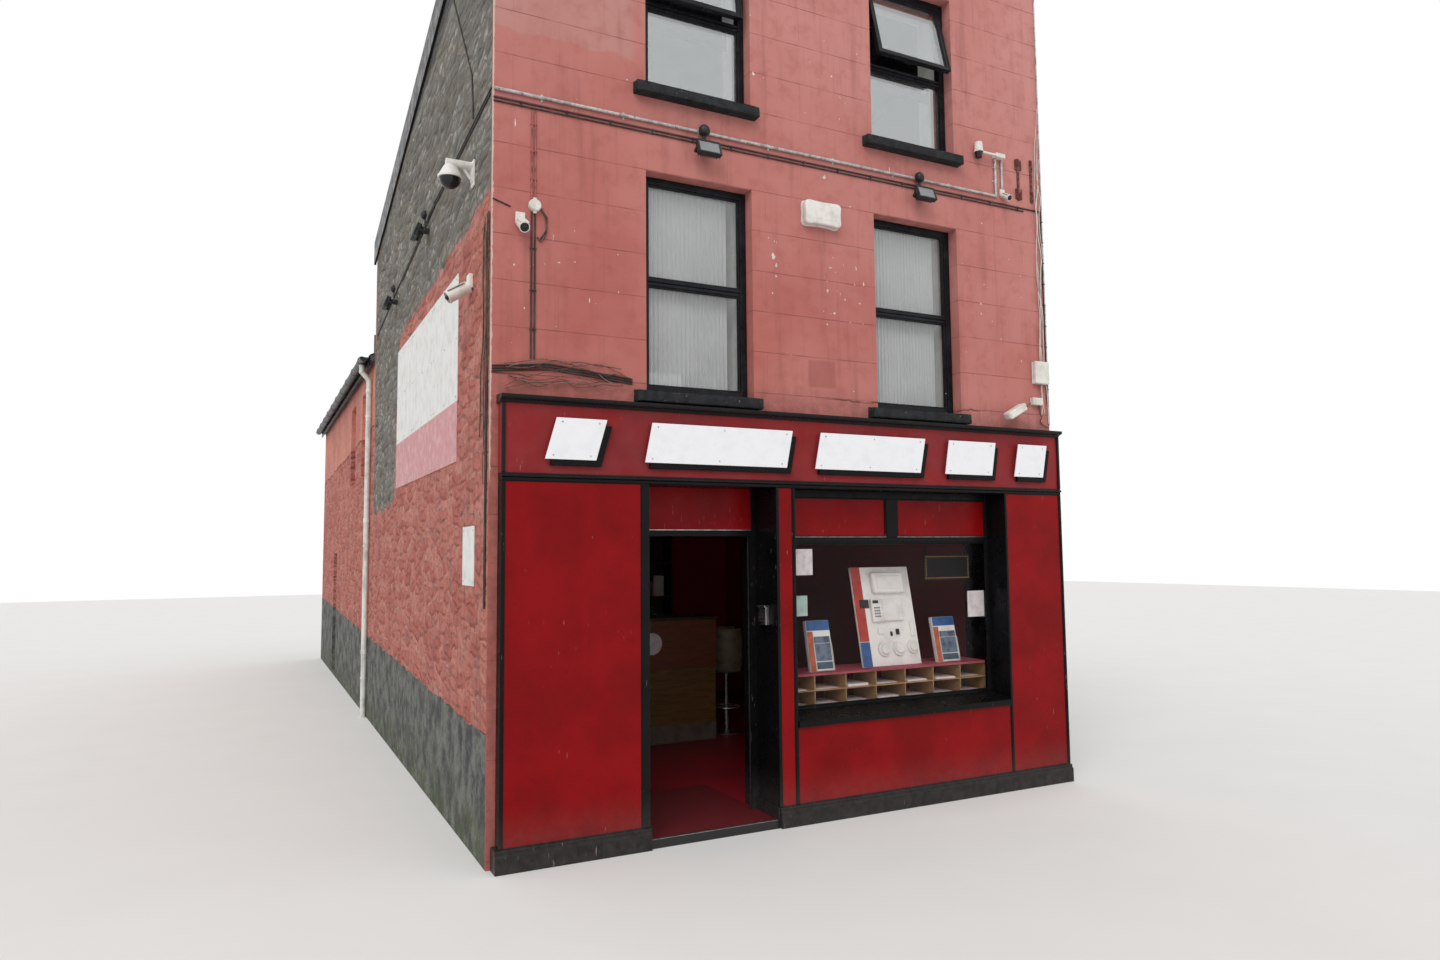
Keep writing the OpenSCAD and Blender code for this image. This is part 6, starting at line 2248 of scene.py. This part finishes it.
@dataclass
class WallBoxes(Assembly):
    """Bare alarm sounder with a bulging cover, and the small white boxes and sensors round it."""

    sounder_x: Pair = (2.509, 2.869)
    sounder_z: Pair = (4.712, 4.924)
    boxes: tuple[tuple[Point, Point, float], ...] = (
        ((4.995, -0.06, 3.59), (5.165, 0, 3.8), 0.012), ((4.965, -0.045, 3.39), (5.09, 0, 3.46), 0.008),
    )
    round_box: Pair = (0.3, 4.512)
    sensor_place: Point = (4.68, -0.105, 3.3)
    sensor_lean: float = -28.0
    key_rows: Run = (1.522, 0.026, 4)
    key_columns: Run = (0.043, 0.027, 3)

    def sounder(self) -> Piece:
        """Sounder: back plate and a swollen cover with waisted sides.

        Returns:
            The new piece.
        """
        (x0, x1), (z0, z1) = self.sounder_x, self.sounder_z
        middle, w, h = (x0 + x1) / 2, (x1 - x0) / 2, z1 - z0
        outline = [
            (-w, 0.16 * h), (-w + 0.012, 0.03 * h), (-w + 0.045, 0.0), (-0.5 * w, 0.03 * h), (0, 0.045 * h),
            (0.5 * w, 0.03 * h), (w - 0.045, 0.0), (w - 0.012, 0.03 * h), (w, 0.16 * h),
            (w - 0.006, 0.5 * h), (w, 0.84 * h), (w - 0.012, 0.96 * h), (w - 0.045, h),
            (0.5 * w, 0.985 * h), (0, 0.97 * h), (-0.5 * w, 0.985 * h), (-w + 0.045, h),
            (-w + 0.012, 0.96 * h), (-w, 0.84 * h), (-w + 0.006, 0.5 * h),
        ]
        plate = bevelled(profile([(middle + u, z0 + v) for u, v in outline], Axis.Y, -0.02, 0), 0.003)
        inner = [(middle + u * 0.975, z0 + h / 2 + (v - h / 2) * 0.955) for u, v in outline]
        cover_piece = smooth(bevelled(profile(inner, Axis.Y, -0.075, -0.018), 0.02, 5))
        panel = slab((middle - 0.12, -0.0765, z0 + 0.055), (middle + 0.12, -0.07, z1 - 0.055), 0.01, 4)
        return joined([plate, cover_piece, panel])

    def lidded(self, low: Point, high: Point, edge: float) -> Piece:
        """Box with a lid line and two lid screws.

        Args:
            low: Lowest corner.
            high: Highest corner.
            edge: Rounding of the lid.

        Returns:
            The new piece.
        """
        (x0, y0, z0), (x1, y1, z1) = low, high
        seam = y1 - (y1 - y0) * 0.3
        parts = [
            slab((x0 + 0.002, seam, z0 + 0.002), (x1 - 0.002, y1, z1 - 0.002), edge * 0.6),
            slab(low, (x1, seam - 0.0015, z1), edge, 4),
        ]
        for x, z in ((x0 + 0.012, z0 + 0.012), (x1 - 0.012, z1 - 0.012)):
            parts.append(rod((x, y0 - 0.0008, z), (x, y0 + 0.002, z), 0.003, 10))
        return joined(parts)

    def keypad(self) -> None:
        """Steel keypad on the right side of the porch, with bare keys under a small hood."""
        case = slab((2.146, 0.02, 1.5), (2.18, 0.14, 1.65), 0.004, 3)
        self.put("keypad_case", "steel", case, slab((2.135, 0.02, 1.635), (2.18, 0.14, 1.65), 0.003))
        spots = product(spaced(*self.key_rows), spaced(*self.key_columns))
        keys = [slab((2.142, y, z), (2.147, y + 0.019, z + 0.018), 0.002) for z, y in spots]
        self.put("keypad_keys", "lamp", *keys)

    def build(self) -> None:
        """Build the boxes."""
        sensor = joined([
            slab((-0.11, -0.045, -0.035), (0.11, 0.045, 0.035), 0.014, 4),
            slab((-0.1, -0.049, -0.026), (0.0, -0.04, 0.026), 0.008, 3),
            slab((-0.113, -0.03, -0.024), (-0.1, 0.03, 0.024), 0.006, 3),
        ])
        x, z = self.round_box
        round_box = joined([
            bevelled(rod((x, 0, z), (x, -0.03, z), 0.045, 32), 0.003),
            bevelled(rod((x, -0.029, z), (x, -0.04, z), 0.041, 32), 0.004),
            slab((0.288, -0.025, 4.55), (0.312, -0.002, 4.568), 0.003),
            slab((0.288, -0.025, 4.456), (0.312, -0.002, 4.474), 0.003),
        ])
        parts = [
            self.sounder(), *(self.lidded(*box) for box in self.boxes),
            slab((4.73, -0.075, 3.29), (4.77, 0, 3.33), 0.006, 3),
            moved(sensor, at(*self.sensor_place, self.sensor_lean, "Y")), round_box,
        ]
        self.put("wall_casings", "casing", *parts, node="wall_boxes")
        self.keypad()


@dataclass
class WallRuns(Assembly):
    """Saddles of the conduit, clips of the cables, and loose thin strands over the cornice."""

    conduit_z: float = 5.31
    cable_z: Pair = (5.248, 5.222)
    saddles: Run = (0.35, 0.62, 7)
    cable_clips: Run = (0.2, 0.335, 15)
    corner_clips: Run = (3.55, 0.2, 9)
    drop_clips: tuple[float, ...] = (3.62, 3.9, 4.2, 4.7, 4.9, 5.1)
    # Left, right and top of each bracket plate
    plates: tuple[Point, ...] = ((4.872, 4.95, 5.72), (5.055, 5.09, 5.735))
    plate_foot: float = 5.32
    cornice_strands: int = 9
    gable_strands: int = 5
    pale_cables: int = 4
    gutter_x: Pair = (-0.1353, 3.1353)
    gutter_brackets: Run = (6.7, 0.85, 10)
    # Place and height of each downpipe
    downpipes: tuple[Point, ...] = ((-0.042, 6.68, 4), (3.042, 14.3, 4), (4.9, 6.462, 5.5))

    def saddle(self, x: float, z: float, upright: bool = False) -> Piece:
        """Spacer saddle over the round conduit.

        Args:
            x: Its middle along the wall.
            z: Its middle over the ground.
            upright: Whether the conduit runs up the wall.

        Returns:
            The new piece.
        """
        radius, length = 0.012, 0.008
        r, y = radius + 0.0025, -radius - 0.0005
        foot = r + 0.014
        u, w = (0, length) if upright else (length, 0)
        band = rod((x - u, y, z - w), (x + u, y, z + w), r, 16)
        u, w = (foot, length) if upright else (length, foot)
        return joined([band, slab((x - u, -0.005, z - w), (x + u, 0, z + w), 0.001, 1)])

    def clips(self) -> None:
        """Saddles and clips on the street wall."""
        saddles = [self.saddle(x, self.conduit_z) for x in spaced(*self.saddles)]
        saddles += [self.saddle(4.62, z, True) for z in (5.45, 5.58)]
        self.put("conduit_saddles", "conduit", *saddles)
        low, high = self.cable_z[1] - 0.009, self.cable_z[0] + 0.009
        clips = [
            slab((x - 0.004, -0.0145, low), (x + 0.004, 0, high), 0.002, 1)
            for x in spaced(*self.cable_clips)
        ]
        clips += [slab((5.165, -0.014, z), (5.2, 0, z + 0.007), 0.002, 1) for z in spaced(*self.corner_clips)]
        clips += [slab((0.268, -0.0135, z), (0.317, 0, z + 0.007), 0.002, 1) for z in self.drop_clips]
        self.put("cable_clips", "dark_cable", *clips)

    def strands(self) -> None:
        """Loose thin strands that wander along the cornice and down the left hand corner."""
        parts, pale = [], []
        for index in range(self.cornice_strands):
            z = 3.2 + random.uniform(0.0, 0.14)
            x = 0.08 + random.uniform(0, 0.1)
            end = random.uniform(0.75, 1.04)
            points = []
            while x < end:
                z += random.uniform(-0.035, 0.04) - (0.012 if x > 0.7 else -0.004)
                z = min(max(z, 3.17), 3.42)
                points.append((x, -0.008 - random.uniform(0, 0.03), z))
                x += random.uniform(0.05, 0.12)
            (pale if index % 4 == 1 else parts).append(tube(points, random.uniform(0.002, 0.0045)))
        for _ in range(self.gable_strands):
            z, y = random.uniform(4.3, 4.5), random.uniform(0.04, 0.2)
            points = []
            while z > random.uniform(1.8, 3.3):
                y = min(max(y + random.uniform(-0.03, 0.03), 0.02), 0.24)
                points.append((-0.006 - random.uniform(0, 0.012), y, z))
                z -= random.uniform(0.08, 0.2)
            if len(points) > 4:
                parts.append(tube(points, random.uniform(0.002, 0.005)))
        ends = (
            (0.012, 0.004, ((0.349, 4.5), (0.392, 4.42), (0.385, 4.3), (0.34, 4.24), (0.32, 4.29))),
            (0.015, 0.004, ((5.06, 3.39), (5.07, 3.33), (5.1, 3.28), (5.06, 3.235), (5.13, 3.2), (5.175, 3.19))),
            (0.01, 0.003, ((4.73, 3.32), (4.8, 3.36), (4.88, 3.34), (4.93, 3.38), (4.97, 3.42))),
        )
        parts += [tube([(x, -out, z) for x, z in line], radius) for out, radius, line in ends]
        self.put("loose_strands", "old_strand", *parts)
        self.put("pale_strands", "pale_strand", *pale)

    def corner_strands(self) -> None:
        """Pale slack cables along the right hand corner."""
        parts = []
        for index in range(self.pale_cables):
            z, x = 6.25 - 0.25 * index, 5.16
            points = []
            while z > 3.2:
                points.append((x, -0.012 - random.uniform(0, 0.02), z))
                x = min(max(x + random.uniform(-0.035, 0.035), 5.09), 5.192)
                z -= random.uniform(0.1, 0.25)
            parts.append(tube(points, random.uniform(0.003, 0.005)))
        self.put("corner_strands", "cable", *parts)

    def brackets(self) -> None:
        """Two rusted bracket plates near the right hand corner, with their lugs and bolts."""
        parts = []
        for x0, x1, top in self.plates:
            middle = (x0 + x1) / 2
            parts.append(slab((middle - 0.014, -0.01, self.plate_foot), (middle + 0.014, 0, top), 0.002))
            for z in (self.plate_foot + 0.01, top - 0.11):
                parts += [
                    slab((x0, -0.014, z), (x1, -0.001, z + 0.1), 0.004),
                    rod((middle, -0.024, z + 0.05), (middle, -0.012, z + 0.05), 0.011, 6),
                    slab((x0 + 0.003, -0.034, z + 0.012), (x0 + 0.009, -0.012, z + 0.088), 0.001, 1),
                ]
        self.put("rusted_brackets", "rust", *parts, node="front_plates")

    def rainwater(self) -> None:
        """Brackets under the gutters and clips round the downpipes."""
        spots = product(self.gutter_x, spaced(*self.gutter_brackets))
        brackets = [rod((x, y - 0.012, 4.64), (x, y + 0.012, 4.64), 0.0575, 24) for x, y in spots]
        for part in brackets:
            choose(part, lambda face: face.center.z > 4.6405)
            bpy.ops.mesh.delete(type="FACE")
            bpy.ops.object.mode_set(mode="OBJECT")
            apply_modifier(part, "SOLIDIFY", thickness=0.002, offset=1)
        self.put("gutter_brackets", "dark_plastic", *brackets)
        clips = []
        for x, y, top in self.downpipes:
            for z in (level for level in (0.5, 2.2, 3.9, 5.4) if level < top):
                clips.append(bevelled(rod((x, y, z - 0.014), (x, y, z + 0.014), 0.038, 28), 0.002))
                clips.append(bevelled(rod((x, y, z + 0.3), (x, y, z + 0.36), 0.0385, 28), 0.003))
        self.put("downpipe_clips", "white_upvc", *clips)

    def build(self) -> None:
        """Build all runs."""
        self.clips()
        self.strands()
        self.corner_strands()
        self.brackets()
        self.rainwater()


@dataclass
class PaintFlakes(Assembly):
    """Thin irregular chips where the masonry paint has come off the street wall."""

    # Middle, width and height of each chip
    chips: Rows = (
        (2.25, 4.42, 0.045, 0.07), (2.27, 4.35, 0.03, 0.05), (2.79, 4.4, 0.05, 0.02),
        (2.76, 4.2, 0.02, 0.05), (2.82, 4.02, 0.03, 0.02), (2.75, 3.92, 0.02, 0.02),
        (3.05, 4.42, 0.02, 0.04), (3.12, 4.3, 0.025, 0.05), (3.08, 4.13, 0.03, 0.02),
        (4.41, 4.28, 0.02, 0.03), (4.41, 4.19, 0.015, 0.03), (2.085, 5.9, 0.03, 0.04),
        (2.92, 5.88, 0.02, 0.02), (2.84, 6.05, 0.02, 0.02), (2.235, 4.12, 0.02, 0.02),
        (0.48, 4.13, 0.025, 0.015), (0.6, 4.15, 0.02, 0.015), (0.71, 3.88, 0.012, 0.05),
        (0.16, 5.09, 0.015, 0.07), (0.16, 4.07, 0.02, 0.02), (0.44, 4.3, 0.012, 0.06),
        (4.45, 5.03, 0.02, 0.02), (4.64, 3.98, 0.02, 0.02), (3.42, 5.35, 0.012, 0.06),
        (2.75, 5.16, 0.05, 0.04), (3.0, 4.95, 0.02, 0.015), (4.9, 4.6, 0.015, 0.02), (1.0, 5.6, 0.02, 0.02),
    )
    # Limits along X and Z, and number of flecks
    fleck_fields: Rows = (
        (2.7, 3.2, 3.9, 4.5, 16), (2.15, 2.35, 4.2, 4.6, 6), (0.1, 1.0, 3.5, 4.4, 10),
        (4.2, 5.0, 3.6, 5.0, 10), (2.0, 3.2, 5.6, 6.4, 10), (3.0, 4.4, 3.28, 3.5, 8),
    )
    corners: int = 11

    def chip(self, x: float, z: float, w: float, h: float) -> Piece:
        """One chip with a ragged outline.

        Args:
            x: Its middle along the wall.
            z: Its middle over the ground.
            w: Greatest width.
            h: Greatest height.

        Returns:
            The new piece.
        """
        outline = []
        for index in range(self.corners):
            turn = 2 * math.pi * index / self.corners
            reach = random.uniform(0.35, 1.0) / 2
            outline.append((x + w * reach * math.cos(turn), z + h * reach * math.sin(turn)))
        return profile(outline, Axis.Y, -0.0009, 0.0005)

    def build(self) -> None:
        """Build the chips and the fine flecks between them."""
        parts = [self.chip(*chip) for chip in self.chips]
        for x0, x1, z0, z1, count in self.fleck_fields:
            for _ in range(count):
                size = random.uniform(0.006, 0.016)
                x, z = random.uniform(x0, x1), random.uniform(z0, z1)
                parts.append(self.chip(x, z, size, size * random.uniform(0.6, 1.8)))
        self.put("paint_chips", "chip", *parts)


@dataclass
class Studio:
    """Camera at the photograph's place, pale floor, white sky light and one broad soft lamp."""

    place: Point = (-1.464, -6.314, 2.058)
    yaw: float = 26.98
    pitch: float = 4.48
    roll: float = -0.55
    lens: float = 23.375
    sky: float = 0.8
    lamp: float = 1.4
    lamp_spread: float = 40.0
    lamp_turn: Point = (48, 0, -38)
    floor_size: float = 90

    def camera(self) -> None:
        """Make the camera."""
        turn = at(0, 0, 0, -self.yaw) @ at(0, 0, 0, 90 + self.pitch, "X") @ at(0, 0, 0, self.roll)
        bpy.ops.object.camera_add(location=self.place, rotation=turn.to_euler())
        camera = bpy.context.object
        camera.data.lens, camera.data.sensor_width = self.lens, 36
        camera.data.clip_start, camera.data.clip_end = 0.05, 200
        bpy.context.scene.camera = camera

    def floor(self) -> None:
        """Make the pale floor that stands for the ground."""
        bpy.ops.mesh.primitive_plane_add(size=self.floor_size, location=(2.5, 5, cad_box[0][2] - 0.001))
        floor = settle(bpy.context.object)
        floor.name = "studio_floor"
        p = Paint("pale_studio_floor")
        tone = p.noise(800, 2).blend("dddcda", "e2e1df")
        cover(floor, p.close(tone, 0.95, None, 0.1))

    def light(self) -> None:
        """Make the white sky and the soft lamp."""
        world = bpy.data.worlds.new("white_sky")
        bpy.context.scene.world = world
        world.use_nodes = True
        tree = world.node_tree
        tree.nodes.clear()
        path = add_node(tree, "LightPath").outputs
        kinds = ("Is Camera Ray", "Is Glossy Ray", "Is Transmission Ray")
        camera, glossy, through = (Level(tree, path[kind]) for kind in kinds)
        seen = camera | glossy | through
        strength = seen.add("MapRange", {"Value": seen, "To Min": self.sky, "To Max": 1.0})
        sky = add_node(tree, "Background", {"Color": "ffffff", "Strength": strength})
        add_node(tree, "OutputWorld", {"Surface": Level(tree, sky.outputs[0])})
        bpy.ops.object.light_add(type="SUN", rotation=[math.radians(a) for a in self.lamp_turn])
        lamp = bpy.context.object.data
        lamp.energy, lamp.angle = self.lamp, math.radians(self.lamp_spread)

    def build(self) -> None:
        """Set up the whole studio."""
        bpy.context.scene.view_settings.view_transform = "Standard"
        self.camera()
        self.floor()
        self.light()


def main() -> None:
    """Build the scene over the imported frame."""
    random.seed(SEED)
    Studio().build()
    finishes = {name: finish.build() for name, (finish, _) in FINISHES.items()}
    for finish, nodes in NODES.items():
        for node in nodes.split():
            cover(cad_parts[node], finishes[finish])
    assemblies = (
        Slates, Stonework, UpperWindows, NetCurtains, Shopfront, SignBoards, GablePlates, ShopWindow,
        WindowDisplay, ShopInside, Doors, Cameras, Floodlights, WallBoxes, WallRuns, PaintFlakes,
    )
    for assembly in assemblies:
        log.info("building %s", assembly.__name__)
        assembly(finishes).build()


if __name__ == "__main__":
    main()
